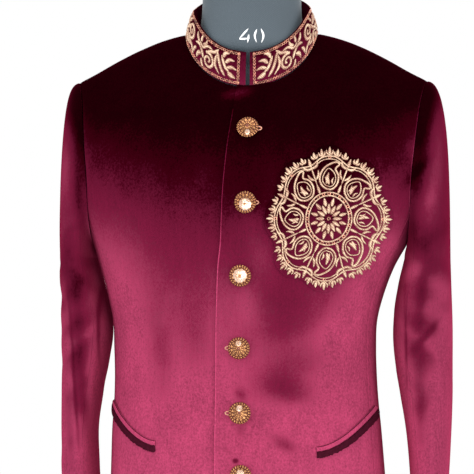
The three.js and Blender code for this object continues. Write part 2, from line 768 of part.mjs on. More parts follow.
// Chest motif: a scalloped rosette of petals, raised from its edge and domed in the middle.
function motifGeometry() {
  const spokes = 48;
  const rings = [0.16, 0.34, 0.52, 0.7, 0.86, 1];
  const bottom = WALL / 2 + MOTIF_LIFT;
  const place = (radius, angle, rise) => {
    const scallop = 1 - 0.1 * Math.abs(Math.sin(MOTIF_PETALS * angle / 2)) ** 3 * radius;
    const across = MOTIF_ACROSS + MOTIF_HALF_WIDTH * radius * scallop * Math.sin(angle);
    const height = MOTIF_HEIGHT + MOTIF_HALF_LENGTH * radius * scallop * Math.cos(angle);
    const spot = bodyPoint(across, height, "front");
    return spot.point.addScaledVector(spot.normal, bottom + lapLift(spot) + rise);
  };
  const relief = (radius, angle) => {
    const petal = Math.abs(Math.cos(MOTIF_PETALS * angle / 2));
    const edge = 1 - radius ** 4;
    return 0.7 + edge * (0.5 + 1.1 * petal);
  };
  const positions = [];
  const indices = [];
  [true, false].forEach((raised) => {
    const middle = place(0, 0, raised ? 2.4 : 0);
    positions.push(middle.x, middle.y, middle.z);
    rings.forEach((radius) => {
      for (let spoke = 0; spoke < spokes; spoke += 1) {
        const angle = 2 * Math.PI * spoke / spokes;
        const point = place(radius, angle, raised ? relief(radius, angle) : 0);
        positions.push(point.x, point.y, point.z);
      }
    });
  });
  const layer = 1 + rings.length * spokes;
  const at = (side, ring, spoke) => side * layer + 1 + ring * spokes + (spoke % spokes);
  for (let spoke = 0; spoke < spokes; spoke += 1) {
    indices.push(0, at(0, 0, spoke), at(0, 0, spoke + 1));
    indices.push(layer, at(1, 0, spoke + 1), at(1, 0, spoke));
    for (let ring = 0; ring < rings.length - 1; ring += 1) {
      addQuad(indices, at(0, ring, spoke), at(0, ring + 1, spoke),
        at(0, ring + 1, spoke + 1), at(0, ring, spoke + 1));
      addQuad(indices, at(1, ring, spoke), at(1, ring, spoke + 1),
        at(1, ring + 1, spoke + 1), at(1, ring + 1, spoke));
    }
    const edge = rings.length - 1;
    addQuad(indices, at(0, edge, spoke), at(1, edge, spoke), at(1, edge, spoke + 1), at(0, edge, spoke + 1));
  }
  return solidFrom(positions, indices);
}

// Buttons: low domes with a rolled rim.
function buttonGeometry() {
  const profile = [
    [0, 0],
    [BUTTON_RADIUS * 0.92, 0],
    [BUTTON_RADIUS, BUTTON_RISE * 0.22],
    [BUTTON_RADIUS * 0.94, BUTTON_RISE * 0.42],
    [BUTTON_RADIUS * 0.72, BUTTON_RISE * 0.72],
    [BUTTON_RADIUS * 0.4, BUTTON_RISE * 0.94],
    [0, BUTTON_RISE],
  ].map(([radius, rise]) => new THREE.Vector2(radius, rise));
  return new THREE.LatheGeometry(profile, 20);
}

function placeButton(mesh, height) {
  const spot = bodyPoint(BUTTON_ACROSS, height, "front");
  const lift = WALL / 2 + LAP_LIFT + TRIM_LIFT;
  mesh.position.copy(spot.point).addScaledVector(spot.normal, lift);
  mesh.quaternion.setFromUnitVectors(new THREE.Vector3(0, 1, 0), spot.normal);
}

// Dress form
function formRing(height, half, front, back, middle, power) {
  const ring = [];
  const count = 36;
  for (let i = 0; i < count; i += 1) {
    const angle = 2 * Math.PI * i / count;
    const depth = Math.cos(angle) > 0 ? front : back;
    const x = half * signedPower(Math.sin(angle), 2 / power);
    const y = -depth * signedPower(Math.cos(angle), 2 / power);
    ring.push(new THREE.Vector3(x + lookUp(BODY, "lean", height), y + middle, height));
  }
  return ring;
}

function formTorso() {
  const rings = [];
  const hem = [[0, 24], [5, 9], [16, 0]];
  hem.forEach(([rise, tuck]) => {
    rings.push(formRing(FORM_BOTTOM + rise, 180 - tuck, 130 - tuck, 123 - tuck, 0, SECTION_POWER));
  });
  LOWER_HEIGHTS.toReversed().forEach((height) => {
    const half = lookUp(BODY, "half", height) - FORM_CLEARANCE;
    const front = lookUp(BODY, "front", height) - FORM_CLEARANCE;
    const back = lookUp(BODY, "back", height) - FORM_CLEARANCE;
    rings.push(formRing(height, half, front, back, 0, SECTION_POWER));
  });
  FORM_SHOULDER.rows.forEach(([height, half, front, back]) => {
    rings.push(formRing(height, half, front, back, 0, 2.25));
  });
  FORM_NECK.rows.forEach(([height, half, depth, middle]) => {
    rings.push(formRing(height, half, depth, depth, middle, 2));
  });
  return loft(rings);
}

function standPole() {
  const length = FORM_BOTTOM - SEAM - BASE_THICKNESS - SEAM;
  const geometry = new THREE.CylinderGeometry(POLE_RADIUS, POLE_RADIUS, length, 28);
  geometry.rotateX(Math.PI / 2);
  geometry.translate(0, 0, BASE_THICKNESS + SEAM + length / 2);
  return geometry;
}

function standBase() {
  const profile = [
    [0, 0],
    [BASE_RADIUS, 0],
    [BASE_RADIUS, BASE_THICKNESS * 0.55],
    [BASE_RADIUS - 4, BASE_THICKNESS * 0.8],
    [BASE_RADIUS - 14, BASE_THICKNESS * 0.9],
    [POLE_RADIUS + 14, BASE_THICKNESS],
    [0, BASE_THICKNESS],
  ].map(([radius, rise]) => new THREE.Vector2(radius, rise));
  const geometry = new THREE.LatheGeometry(profile, 56);
  geometry.rotateX(Math.PI / 2);
  return geometry;
}

const object = new THREE.Group();

function addPiece(name, geometry, colour, roughness, metalness = 0) {
  const material = new THREE.MeshStandardMaterial({ color: colour, roughness, metalness });
  const mesh = new THREE.Mesh(geometry, material);
  mesh.name = name;
  object.add(mesh);
  return mesh;
}

const SIDES = [["left", 1], ["right", -1]];

SIDES.forEach(([name, side]) => {
  const lift = side > 0 ? lapLift : () => 0;
  addPiece(`front_${name}`, wall(panelRows(side, "front"), lift), COLOURS.velvet, 0.85);
  addPiece(`back_${name}`, wall(panelRows(side, "back")), COLOURS.velvet, 0.85);
  addPiece(`side_${name}`, wall(sideRows(side)), COLOURS.velvet, 0.85);
  addPiece(`pocket_${name}_upper_welt`, welt(side, true), COLOURS.velvet, 0.85);
  addPiece(`pocket_${name}_lower_welt`, welt(side, false), COLOURS.welt, 0.85);

  const tube = sleeveTube(side);
  const count = tube[0].length;
  const frontSeam = SLEEVE_SEAM_COLUMN;
  const backSeam = count - SLEEVE_SEAM_COLUMN;
  const upperSleeve = sleevePiece(tube, backSeam - count, frontSeam);
  const underSleeve = sleevePiece(tube, frontSeam, backSeam);
  addPiece(`sleeve_${name}_upper`, sleeveWall(upperSleeve), COLOURS.velvet, 0.85);
  addPiece(`sleeve_${name}_under`, sleeveWall(underSleeve), COLOURS.velvet, 0.85);
});

addPiece("collar", collarWall(), COLOURS.lapel, 0.85);
addPiece("chest_motif", motifGeometry(), COLOURS.thread, 0.6);

BUTTON_HEIGHTS.forEach((height, i) => {
  const button = addPiece(`button_${i + 1}`, buttonGeometry(), COLOURS.brass, 0.35, 0.9);
  placeButton(button, height);
});

addPiece("form_torso", formTorso(), COLOURS.form, 0.8);
addPiece("form_pole", standPole(), COLOURS.steel, 0.4, 0.8);
addPiece("form_base", standBase(), COLOURS.steel, 0.45, 0.8);

export default object;
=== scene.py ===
"""A velvet stand-collar jacket, embroidered at the collar and chest, buttoned on a dress form."""

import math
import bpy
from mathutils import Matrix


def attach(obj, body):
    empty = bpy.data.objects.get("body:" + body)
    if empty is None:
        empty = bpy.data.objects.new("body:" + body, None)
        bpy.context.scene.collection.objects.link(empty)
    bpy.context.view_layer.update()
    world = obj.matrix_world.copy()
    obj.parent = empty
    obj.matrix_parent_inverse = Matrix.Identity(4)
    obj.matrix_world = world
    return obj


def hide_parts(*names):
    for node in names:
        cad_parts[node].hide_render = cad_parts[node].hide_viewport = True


bl_info = {
    "name": "Velvet Stand-Collar Jacket",
    "version": (1, 0, 0),
    "blender": (4, 5, 0),
    "location": "View3D > Sidebar > Jacket",
    "description": "Makes a buttoned velvet jacket with gold embroidery on a limbless dress form",
    "category": "Add Mesh",
}

import bpy
import numpy as np
from bpy.props import FloatProperty, FloatVectorProperty, IntProperty, PointerProperty
from mathutils import Vector

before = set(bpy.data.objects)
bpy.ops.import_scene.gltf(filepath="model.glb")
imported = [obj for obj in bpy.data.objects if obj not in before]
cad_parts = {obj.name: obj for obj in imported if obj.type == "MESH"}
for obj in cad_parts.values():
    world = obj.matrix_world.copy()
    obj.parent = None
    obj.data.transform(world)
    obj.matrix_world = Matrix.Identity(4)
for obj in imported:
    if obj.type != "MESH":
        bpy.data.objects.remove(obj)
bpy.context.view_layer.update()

MM = 0.001

# Which half of the body a surface belongs to, by the sign of its y
FRONT = -1.0
BACK = 1.0

# Cloth, in millimetres
WALL = 2.0
SEAM = 0.3
LAP_LIFT = 3.4
LAP_LEVEL = 18.0  # across from the centre, the lap keeps its lift up to here
LAP_END = 40.0  # and has come down by here
TRIM_LIFT = 1.0

# Heights above the floor
HEM_HEIGHT = 715.0
CUFF_HEIGHT = 760.0
BICEP_HEIGHT = 1160.0
CHEST_HEIGHT = 1182.0
SHOULDER_TIP_HEIGHT = 1389.0
SHOULDER_TIP_ACROSS = 228.0
NECK_SIDE_HEIGHT = 1452.0
NAPE_HEIGHT = 1458.0

# Body sections
SECTION_POWER = 2.5
SHOULDER_ROUND = 110.0
NECK_HALF_WIDTH = 85.0
NECK_FRONT_DROP = 72.0
NAPE_DEPTH_SHARE = 0.8
NECK_DROP_BEND = 1.12

# Armholes and side seams, in degrees round the body from the centre front
SIDE_SEAM = 69.0
ARMHOLE_HALF_SPREAD = 29.0
ARMHOLE_TIP_SPREAD = 20.7
SEAM_ANGLE = 180 - math.degrees(math.asin((90 - SIDE_SEAM) / ARMHOLE_HALF_SPREAD))
SLEEVE_SEAM_ANGLE = SEAM_ANGLE * 8 / 9
NECK_SHARE = 2 / 3
RIDGE_SHARE = 0.0014
SEAM_TURN = 0.07

# Collar
COLLAR_WALL = 2.4
COLLAR_HEIGHT_FRONT = 45.0
COLLAR_HEIGHT_SIDE = 41.0
COLLAR_HEIGHT_BACK = 50.0
COLLAR_SIDE_DIP = 8.0
COLLAR_DIP_SPREAD = 24.0
COLLAR_TAPER = 0.88
COLLAR_GAP_LEFT = 2.6  # from the centre to each end of the collar
COLLAR_GAP_RIGHT = 2.8
COLLAR_PLAIN_LEFT = 3.4  # plain velvet beyond the sequins at each end of the collar
COLLAR_PLAIN_RIGHT = 6.7
COLLAR_REPEAT = 47.0
SEQUIN_INSET = 2.6

# Buttons
BUTTON_RADIUS = 13.8
BUTTON_RISE = 7.5
BUTTON_ACROSS = 3.5
BUTTON_PETALS = 12
BUTTON_BEADS = 24
BUTTON_HEIGHTS = (1324, 1231, 1140, 1048, 966, 888)
BUTTONHOLE_SHIFTS = (7, 6, -1, -7, -8, -4)

# Each button's painted reflection, a pale spot on its dome: its radius and how far it sits above the middle
# (mm).
BUTTON_REFLECTIONS = ((3.2, -8.0), (7.6, -3.0), (8.4, 0.5), (3.4, 6.0), (3.8, 5.5), (4.4, 3.5))

# Pockets
POCKET_INNER = {"left": 98.0, "right": 106.0}
POCKET_OUTER = 171.0
POCKET_LOW = {"left": 918.0, "right": 924.0}
POCKET_RISE = 50.0
POCKET_BEND = 1.8
UPPER_WELT_WIDTH = 6.0
LOWER_WELT_WIDTH = 8.2
WELT_RISE = 2.0
WELT_RAGGED = 0.9

# Chest motif
MOTIF_ACROSS = 107.0
MOTIF_HEIGHT = 1211.0
MOTIF_HALF_WIDTH = 79.0
MOTIF_HALF_LENGTH = 92.0
MOTIF_PETALS = 8
MOTIF_LIFT = 1.6
PETAL_STEP = 360 / MOTIF_PETALS

# Dress form
FORM_CLEARANCE = 8.0
FORM_BOTTOM = 655.0
FORM_BOTTOM_HALF = 180.0
FORM_BOTTOM_FRONT = 130.0
FORM_BOTTOM_BACK = 123.0
POLE_RADIUS = 15.0
BASE_RADIUS = 195.0
BASE_THICKNESS = 18.0

# Floor, in metres
FLOOR_RADIUS = 2.9
FLOOR_SIDES = 96


class Table:
    """Rows of named columns, read along a smooth curve. The first column is the key."""

    def __init__(self, columns, rows):
        self.columns = columns
        self.rows = np.array(rows, float)
        keys = self.rows[:, :1]
        last = len(rows) - 1
        before = np.maximum(np.arange(last + 1) - 1, 0)
        after = np.minimum(np.arange(last + 1) + 1, last)
        self.slopes = (self.rows[after] - self.rows[before]) / (keys[after] - keys[before])

    def at(self, column, key):
        index = self.columns.index(column)
        keys = self.rows[:, 0]
        values = self.rows[:, index]
        slopes = self.slopes[:, index]
        held = np.clip(key, keys[0], keys[-1])
        low = np.clip(np.searchsorted(keys, held) - 1, 0, len(keys) - 2)
        span = keys[low + 1] - keys[low]
        t = (held - keys[low]) / span
        start = (1 + 2 * t) * (1 - t) ** 2 * values[low] + t * (1 - t) ** 2 * span * slopes[low]
        end = t * t * (3 - 2 * t) * values[low + 1] + t * t * (t - 1) * span * slopes[low + 1]
        return start + end

    def slope(self, column, key, step=0.5):
        return (self.at(column, key + step) - self.at(column, key - step)) / (2 * step)


BODY = Table(("height", "half", "front", "back", "lean"), (
    (HEM_HEIGHT, 190, 140, 133, 0),
    (790, 185, 138, 132, -2),
    (870, 178, 134, 128, -5),
    (905, 176, 132, 124, -6),
    (940, 174, 129, 118, -7),
    (975, 171, 125, 109, -7.5),
    (1010, 169.5, 121, 101, -8.2),
    (1045, 169.5, 119.5, 97, -9),
    (1080, 171, 120.5, 98.5, -9),
    (1115, 179, 123, 104, -8),
    (1150, 190.5, 126, 111, -6),
    (CHEST_HEIGHT, 204.5, 128, 116, -2),
    (1214, 218, 128, 120, -0.5),
    (1240, 226, 126, 122, 0),
    (1285, 234, 117, 121, 0.5),
    (1330, 238, 100, 115, 0.5),
    (1355, 239, 89, 110, 0.5),
    (1380, 240, 76, 103, 0.5),
    (1402, 240.5, 63, 96, 0.5),
    (1425, 241, 54, 86, 0.5),
    (1456, 242, 50, 73, 0),
    (1505, 244, 50, 62, 0),
))

SHOULDER_LINE = Table(("across", "height"), (
    (0, 1453),
    (60, 1453),
    (NECK_HALF_WIDTH, NECK_SIDE_HEIGHT),
    (117, 1444),
    (145, 1433),
    (175, 1418),
    (205, 1401),
    (SHOULDER_TIP_ACROSS, SHOULDER_TIP_HEIGHT),
    (250, 1376),
))

FRONT_EDGE = Table(("height", "lap", "underlap"), (
    (HEM_HEIGHT, -33, -14),
    (878, -30, -14),
    (1100, -26, -14),
    (1230, -27, -14),
    (1300, -23, -14),
    (1345, -17.5, -8),
    (1381, -13.5, -1),
))

SLEEVE_LEFT = Table(("height", "outer", "inner", "depth", "middle"), (
    (CUFF_HEIGHT, 246, 206, 56, -14),
    (850, 253, 208, 61, -12),
    (895, 256, 206, 63, -9),
    (940, 258.5, 201.5, 65, -6),
    (985, 260, 194, 67, -3),
    (1030, 260, 187, 69, 0),
    (1075, 259.5, 184.5, 71, 2),
    (1120, 258, 190, 73, 3),
    (BICEP_HEIGHT, 257, 199.5, 75, 3),
))

SLEEVE_RIGHT = Table(("height", "outer", "inner", "depth", "middle"), (
    (CUFF_HEIGHT, 240, 198, 56, -14),
    (850, 244, 200.5, 61, -12),
    (895, 246.5, 203, 63, -9),
    (940, 247, 204.5, 65, -6),
    (985, 247.7, 198.5, 67, -3),
    (1030, 248.3, 190.5, 69, 0),
    (1075, 249, 185, 71, 2),
    (1120, 250, 196, 73, 3),
    (BICEP_HEIGHT, 250.5, 207.5, 75, 3),
))

FORM_NECK = Table(("height", "half", "depth", "middle"), (
    (1425, 82, 52, -2),
    (1440, 74, 54, -5),
    (1456, 68, 52.5, -5),
    (1480, 65, 52, -5),
    (1510, 64, 52, -5),
    (1538, 63, 51, -5),
    (1545, 58, 46, -5),
))

FORM_SHOULDER = Table(("height", "half", "front", "back"), (
    (CHEST_HEIGHT, 195, 118, 106),
    (1240, 200, 116, 110),
    (1300, 203, 101, 107),
    (1345, 203, 79, 96),
    (1375, 196, 62, 80),
    (1395, 172, 50, 70),
    (1410, 138, 43, 62),
    (1425, 82, 50, 54),
))

# Soft folds on the fronts: middle, level, turn, length, width, rise.
FOLDS = (
    (62, 1062, 12, 60, 12, 1.6),
    (118, 1030, 40, 90, 16, 1.8),
    (-120, 1075, -24, 80, 16, 1.6),
    (-70, 1010, -34, 85, 16, 1.5),
    (150, 1150, 58, 70, 12, 1.5),
    (-158, 1150, -58, 70, 12, 1.5),
    (150, 1118, 48, 60, 7, 1.2),
    (166, 1098, 40, 50, 6, 1.0),
    (-150, 1124, -48, 60, 7, 1.2),
    (-166, 1104, -40, 50, 6, 1.0),
    (60, 985, -24, 45, 9, 1.4),
    (48, 936, -20, 45, 8, 1.2),
    (-42, 1000, 80, 60, 6, 0.8),
    (-90, 1088, 20, 50, 8, 1.0),
    (102, 1052, 28, 55, 9, 1.3),
)

# Folds round a sleeve: angle from the shoulder tip over the front, height, slant, width, rise.
SLEEVE_FOLDS = (
    (60, 1120, 0.32, 14, 3.2),
    (75, 1082, 0.26, 12, 2.8),
    (70, 1040, 0.30, 13, 3.0),
    (95, 985, -0.24, 13, 2.4),
    (235, 1060, -0.30, 15, 2.2),
    (250, 1010, 0.25, 14, 2.0),
    (50, 1165, 0.42, 9, 2.0),
    (110, 1140, -0.30, 8, 1.6),
    (80, 930, 0.22, 16, 1.6),
    (70, 1195, 0.35, 8, 2.0),
    (55, 1100, -0.35, 7, 1.8),
    (100, 1055, 0.40, 7, 1.6),
    (110, 1005, 0.30, 8, 1.6),
    (85, 900, -0.20, 10, 1.6),
    (75, 850, 0.25, 10, 1.2),
)


def signed_power(value, power):
    return np.sign(value) * np.abs(value) ** power


def smoothstep(value, low, high):
    t = np.clip((value - low) / (high - low), 0, 1)
    return t * t * (3 - 2 * t)


# ---------------------------------------------------------------- the body's surface

def ridge_height(across, facing):
    """Height of the shoulder line. facing is FRONT or BACK."""
    across = np.abs(across)
    line = SHOULDER_LINE.at("height", across)
    share = np.clip(1 - (across / NECK_HALF_WIDTH) ** 2, 0, 1)
    nape = NECK_SIDE_HEIGHT + (NAPE_HEIGHT - NECK_SIDE_HEIGHT) * share
    drop = SHOULDER_ROUND * (1 - np.sqrt(1 - NAPE_DEPTH_SHARE ** 2 * share))
    return np.where((facing > 0) & (share > 0), nape + drop, line)


def ridge_slope(across, facing, step=0.5):
    return (ridge_height(across + step, facing) - ridge_height(across - step, facing)) / (2 * step)


def fold_rise(across, height):
    total = np.zeros(np.shape(across))
    for middle, level, turn, length, width, rise in FOLDS:
        cosine = math.cos(math.radians(turn))
        sine = math.sin(math.radians(turn))
        along = (across - middle) * cosine + (height - level) * sine
        beside = (height - level) * cosine - (across - middle) * sine
        total = total + rise * np.exp(-4 * (along / length) ** 2 - (beside / width) ** 2)
    return total


def ripple(across, height):
    """Slight unevenness of hanging cloth."""
    slow = np.sin(across * 0.021 + 1.3) * np.sin(height * 0.017 + across * 0.006)
    drag = np.sin(across * 0.048 + height * 0.011 + 0.7) * np.sin(height * 0.009 - 0.4)
    return 0.55 * slow + 0.45 * drag


def body(across, height, facing):
    """Points and normals of the jacket's middle surface."""
    across, height, facing = np.broadcast_arrays(
        np.asarray(across, float), np.asarray(height, float), np.asarray(facing, float))
    half = BODY.at("half", height)
    reach = np.minimum(np.abs(across) / half, 1)
    full = np.where(facing < 0, BODY.at("front", height), BODY.at("back", height))
    drop = np.maximum(ridge_height(across, facing) - height, 1e-4)
    rounding = np.minimum(drop / SHOULDER_ROUND, 1)
    shoulder = np.sqrt(1 - (1 - rounding) ** 2)
    share = (1 - reach ** SECTION_POWER) ** (1 / SECTION_POWER)
    depth_term = share ** SECTION_POWER
    change = np.where(rounding < 1, (1 - rounding) / (SHOULDER_ROUND * shoulder ** 2), 0)
    half_change = BODY.slope("half", height) / half
    full_slope = np.where(facing < 0, BODY.slope("front", height), BODY.slope("back", height))
    normal = np.stack((
        np.sign(across) * reach ** (SECTION_POWER - 1) / half
        - depth_term * change * ridge_slope(across, facing),
        facing * share ** (SECTION_POWER - 1) / (full * shoulder),
        -reach ** SECTION_POWER * half_change - depth_term * (full_slope / full - change),
    ), -1)
    normal /= np.linalg.norm(normal, axis=-1, keepdims=True)
    point = np.stack((
        BODY.at("lean", height) + across,
        facing * full * share * shoulder,
        height,
    ), -1)
    fold = np.where(facing < 0, fold_rise(across, height) * share, 0)
    quiet = smoothstep(drop, 0, 120) * share
    fold = fold + quiet * ripple(across, height)
    return point + normal * fold[..., None], normal


def turned_body(side, turn, height):
    """The body's surface at an angle round it: 0 is the centre front, 90 the side, 180 the back."""
    facing = np.where(turn <= 90, FRONT, BACK)
    across = side * BODY.at("half", height) * np.sin(np.radians(turn)) ** (2 / SECTION_POWER)
    return body(across, height, facing)


def turn_of(across, half):
    return np.degrees(np.arcsin(signed_power(across / half, SECTION_POWER / 2)))


def armhole_turn(angle):
    swing = np.abs(np.sin(np.radians(angle)))
    from_top = ARMHOLE_TIP_SPREAD + (ARMHOLE_HALF_SPREAD - ARMHOLE_TIP_SPREAD) * swing
    spread = np.where(np.cos(np.radians(angle)) > 0, from_top, ARMHOLE_HALF_SPREAD * swing)
    return np.where(angle <= 180, 90 - spread, 90 + spread)


def armhole_height(angle):
    middle = (SHOULDER_TIP_HEIGHT + CHEST_HEIGHT) / 2
    return middle + (SHOULDER_TIP_HEIGHT - middle) * np.cos(np.radians(angle))


def drop_share(across, height, facing):
    ridge = ridge_height(across, facing)
    return np.sqrt(np.maximum(ridge - height, 0) / (ridge - CHEST_HEIGHT))


def yoke_height(across, share, facing):
    ridge = ridge_height(across, facing)
    return ridge - (ridge - CHEST_HEIGHT) * share ** 2


def neckline(angle, facing):
    """Where the neckline runs, from the shoulder line (0 degrees) to the centre (90)."""
    across = NECK_HALF_WIDTH * np.cos(np.radians(angle))
    dip = np.sin(np.radians(angle))
    front = NECK_SIDE_HEIGHT - NECK_FRONT_DROP * np.abs(dip) ** NECK_DROP_BEND
    back = NECK_SIDE_HEIGHT + (NAPE_HEIGHT - NECK_SIDE_HEIGHT) * dip ** 2
    return across, (front if facing < 0 else back)


def edge_across(side, height):
    return FRONT_EDGE.at("lap" if side > 0 else "underlap", height)


def eased(count, near=(0.0, 0.004, 0.011, 0.024)):
    """Shares from 0 to 1 with closer steps at both ends."""
    inner = np.linspace(0.045, 0.955, count)
    return np.concatenate((near, inner, 1 - np.array(near)[::-1]))


# ---------------------------------------------------------------- meshes

def new_object(name, points, faces, materials, sharp, face_slots=None):
    mesh = bpy.data.meshes.new(name)
    mesh.from_pydata((np.asarray(points) * MM).tolist(), [], faces)
    mesh.validate()
    mesh.update()
    mesh.shade_smooth()
    mesh.set_sharp_from_angle(angle=math.radians(sharp))
    for material in materials:
        mesh.materials.append(material)
    if face_slots is not None:
        mesh.polygons.foreach_set("material_index", np.asarray(face_slots, np.int32))
    piece = bpy.data.objects.new(name, mesh)
    bpy.context.scene.collection.objects.link(piece)
    return piece


def settle(piece, nodes=()):
    """Rides the piece on the only body and hides the solids it stands for."""
    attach(piece, "root")
    if nodes:
        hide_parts(*nodes)


def grid_faces(rows, columns, start, flip):
    faces = []
    for r in range(rows - 1):
        for c in range(columns - 1):
            a = start + r * columns + c
            quad = (a, a + 1, a + columns + 1, a + columns)
            faces.append(quad[::-1] if flip else quad)
    return faces


def shell_mesh(points, normals, outer, inner):
    """A closed wall between two offsets of a grid of points."""
    rows, columns = points.shape[:2]
    outside = points + normals * np.asarray(outer)[..., None]
    inside = points + normals * np.asarray(inner)[..., None]
    both = np.concatenate((outside.reshape(-1, 3), inside.reshape(-1, 3)))
    count = rows * columns
    middle = (rows // 2, columns // 2)
    across = outside[middle[0], middle[1] + 1] - outside[middle]
    along = outside[middle[0] + 1, middle[1]] - outside[middle]
    flip = np.dot(np.cross(across, along), normals[middle]) < 0
    faces = grid_faces(rows, columns, 0, flip)
    faces += grid_faces(rows, columns, count, not flip)
    border = list(range(columns))
    border += [r * columns + columns - 1 for r in range(1, rows)]
    border += [(rows - 1) * columns + c for c in range(columns - 2, -1, -1)]
    border += [r * columns for r in range(rows - 2, 0, -1)]
    for a, b in zip(border, border[1:] + border[:1]):
        quad = (b, a, a + count, b + count)
        faces.append(quad[::-1] if flip else quad)
    return both, faces


def edge_distance(points):
    """Each point's distance along its row and its column to the nearest of the four edges."""
    along_row = np.linalg.norm(np.diff(points, axis=1), axis=-1)
    start = np.concatenate((np.zeros((len(points), 1)), np.cumsum(along_row, axis=1)), axis=1)
    end = start[:, -1:] - start
    along_column = np.linalg.norm(np.diff(points, axis=0), axis=-1)
    top = np.concatenate((np.zeros((1, points.shape[1])), np.cumsum(along_column, axis=0)))
    bottom = top[-1:] - top
    return start, end, top, bottom


def turned_edges(points, wall=WALL, groove=0.85, soft=2.2):
    """Offsets of the two faces: the cloth rolls in where it is sewn or turned at its edges."""
    nearest = np.minimum.reduce(edge_distance(points))
    sink = groove * np.exp(-(nearest / soft) ** 2)
    return wall / 2 - sink, np.full(sink.shape, -wall / 2)


def make_shell(name, points, normals, material, lift=0.0, edge_highlight_material=None):
    """A cloth piece. The edge material, a brighter velvet that paints a highlight, goes on its turned front
    edge and on its armhole's ridge.
    """
    turned_from, ridge_to = 0.28, 0.5
    outer, inner = turned_edges(points)
    vertices, faces = shell_mesh(points, normals, outer + lift, inner + lift)
    materials = [material]
    face_slots = None
    if edge_highlight_material:
        materials.append(edge_highlight_material)
        rows, columns = points.shape[:2]
        column = np.arange(columns - 1)[None, :]
        row = np.arange(rows - 1)[:, None]
        turned = (column < 1) & (row > rows * turned_from)
        ridge = (column > columns - 3) & (row < rows * ridge_to)
        face_slots = np.zeros(len(faces), int)
        face_slots[:(rows - 1) * (columns - 1)] = (turned | ridge).ravel()
    return new_object(name, vertices, faces, materials, sharp=55, face_slots=face_slots)


def loft_mesh(rings):
    """Closed rings joined into one body, with a fan over each end."""
    count = len(rings[0])
    points = np.concatenate(rings)
    faces = []
    for r in range(len(rings) - 1):
        for c in range(count):
            d = (c + 1) % count
            faces.append((r * count + c, r * count + d, (r + 1) * count + d, (r + 1) * count + c))
    last = (len(rings) - 1) * count
    faces.append(tuple(range(count))[::-1])
    faces.append(tuple(range(last, last + count)))
    return points, faces


def lathe_mesh(profile, count):
    rings = []
    turn = np.linspace(0, 2 * np.pi, count, endpoint=False)
    for radius, height in profile:
        rings.append(np.stack((radius * np.cos(turn), radius * np.sin(turn), np.full(count, height)), -1))
    return loft_mesh(rings)


# ---------------------------------------------------------------- shader expressions

class Value:
    """A socket that takes part in arithmetic. Each operation adds a Math node."""

    def __init__(self, maker, socket):
        self.maker = maker
        self.socket = socket

    def _math(self, operation, *values):
        inputs = dict(enumerate(values))
        return self.maker.node("ShaderNodeMath", {"operation": operation}, inputs).value()

    def __add__(self, other):
        return self._math("ADD", self, other)

    __radd__ = __add__

    def __sub__(self, other):
        return self._math("SUBTRACT", self, other)

    def __rsub__(self, other):
        return self._math("SUBTRACT", other, self)

    def __mul__(self, other):
        return self._math("MULTIPLY", self, other)

    __rmul__ = __mul__

    def __truediv__(self, other):
        return self._math("DIVIDE", self, other)

    def __rtruediv__(self, other):
        return self._math("DIVIDE", other, self)

    def clamped(self):
        return self._math("MAXIMUM", self._math("MINIMUM", self, 1.0), 0.0)

    def sine(self):
        return self._math("SINE", self)

    def exponential(self):
        return self._math("EXPONENT", self)


class Added:
    """A node that the maker has placed."""

    def __init__(self, maker, node):
        self.maker = maker
        self.node = node

    def value(self, output=0):
        return Value(self.maker, self.node.outputs[output])


class Maker:
    """Builds the nodes of a new material, or of the node tree that it is given."""

    def __init__(self, name, tree=None):
        self.tree = tree
        if tree:
            return
        self.material = bpy.data.materials.new(name)
        self.material.use_nodes = True
        self.tree = self.material.node_tree
        self.tree.nodes.clear()
        self.output = self.tree.nodes.new("ShaderNodeOutputMaterial")

    def node(self, kind, settings=None, inputs=None):
        node = self.tree.nodes.new(kind)
        for key, setting in (settings or {}).items():
            if key == "stops":
                self._set_stops(node.color_ramp, setting)
            else:
                setattr(node, key, setting)
        for key, value in (inputs or {}).items():
            socket = node.inputs[key]
            if isinstance(value, Value):
                self.tree.links.new(value.socket, socket)
            else:
                socket.default_value = value
        return Added(self, node)

    def _set_stops(self, ramp, stops):
        ramp.interpolation = "EASE"
        while len(ramp.elements) < len(stops):
            ramp.elements.new(0.5)
        for element, (position, colour) in zip(ramp.elements, stops):
            element.position = position
            element.color = (*colour[:3], 1.0)

    def place(self):
        """The point's place on the object, in metres, as a vector."""
        return self.node("ShaderNodeTexCoord").value("Object")

    def axes(self, vector):
        split = self.node("ShaderNodeSeparateXYZ", None, {0: vector})
        return split.value(0), split.value(1), split.value(2)

    def stretched(self, vector, scale):
        settings = {"operation": "MULTIPLY"}
        return self.node("ShaderNodeVectorMath", settings, {0: vector, 1: scale}).value()

    def brushing_and_painted_light(self, x, z):
        """How far the painted light and shade patches move the pile's tone."""
        group = bpy.data.node_groups.get("painted_light_patches") or painted_light_group()
        return self.node("ShaderNodeGroup", {"node_tree": group}, {0: x, 1: z}).value()

    def noise(self, vector, scale, detail=2.0, rough=0.5):
        inputs = {"Vector": vector, "Scale": scale, "Detail": detail, "Roughness": rough}
        return self.node("ShaderNodeTexNoise", None, inputs).value("Fac")

    def ramp(self, factor, stops):
        return self.node("ShaderNodeValToRGB", {"stops": stops}, {0: factor}).value("Color")

    def mix(self, factor, low, high, blend="MIX"):
        settings = {"data_type": "RGBA", "blend_type": blend}
        inputs = {0: factor, 6: low, 7: high}
        return self.node("ShaderNodeMix", settings, inputs).value(2)

    def bump(self, height, distance, strength=1.0):
        inputs = {"Height": height, "Distance": distance, "Strength": strength}
        return self.node("ShaderNodeBump", None, inputs).value()

    def surface(self, **inputs):
        named = {key.replace("_", " "): value for key, value in inputs.items()}
        shader = self.node("ShaderNodeBsdfPrincipled", None, named)
        self.tree.links.new(shader.node.outputs[0], self.output.inputs["Surface"])
        return self.material


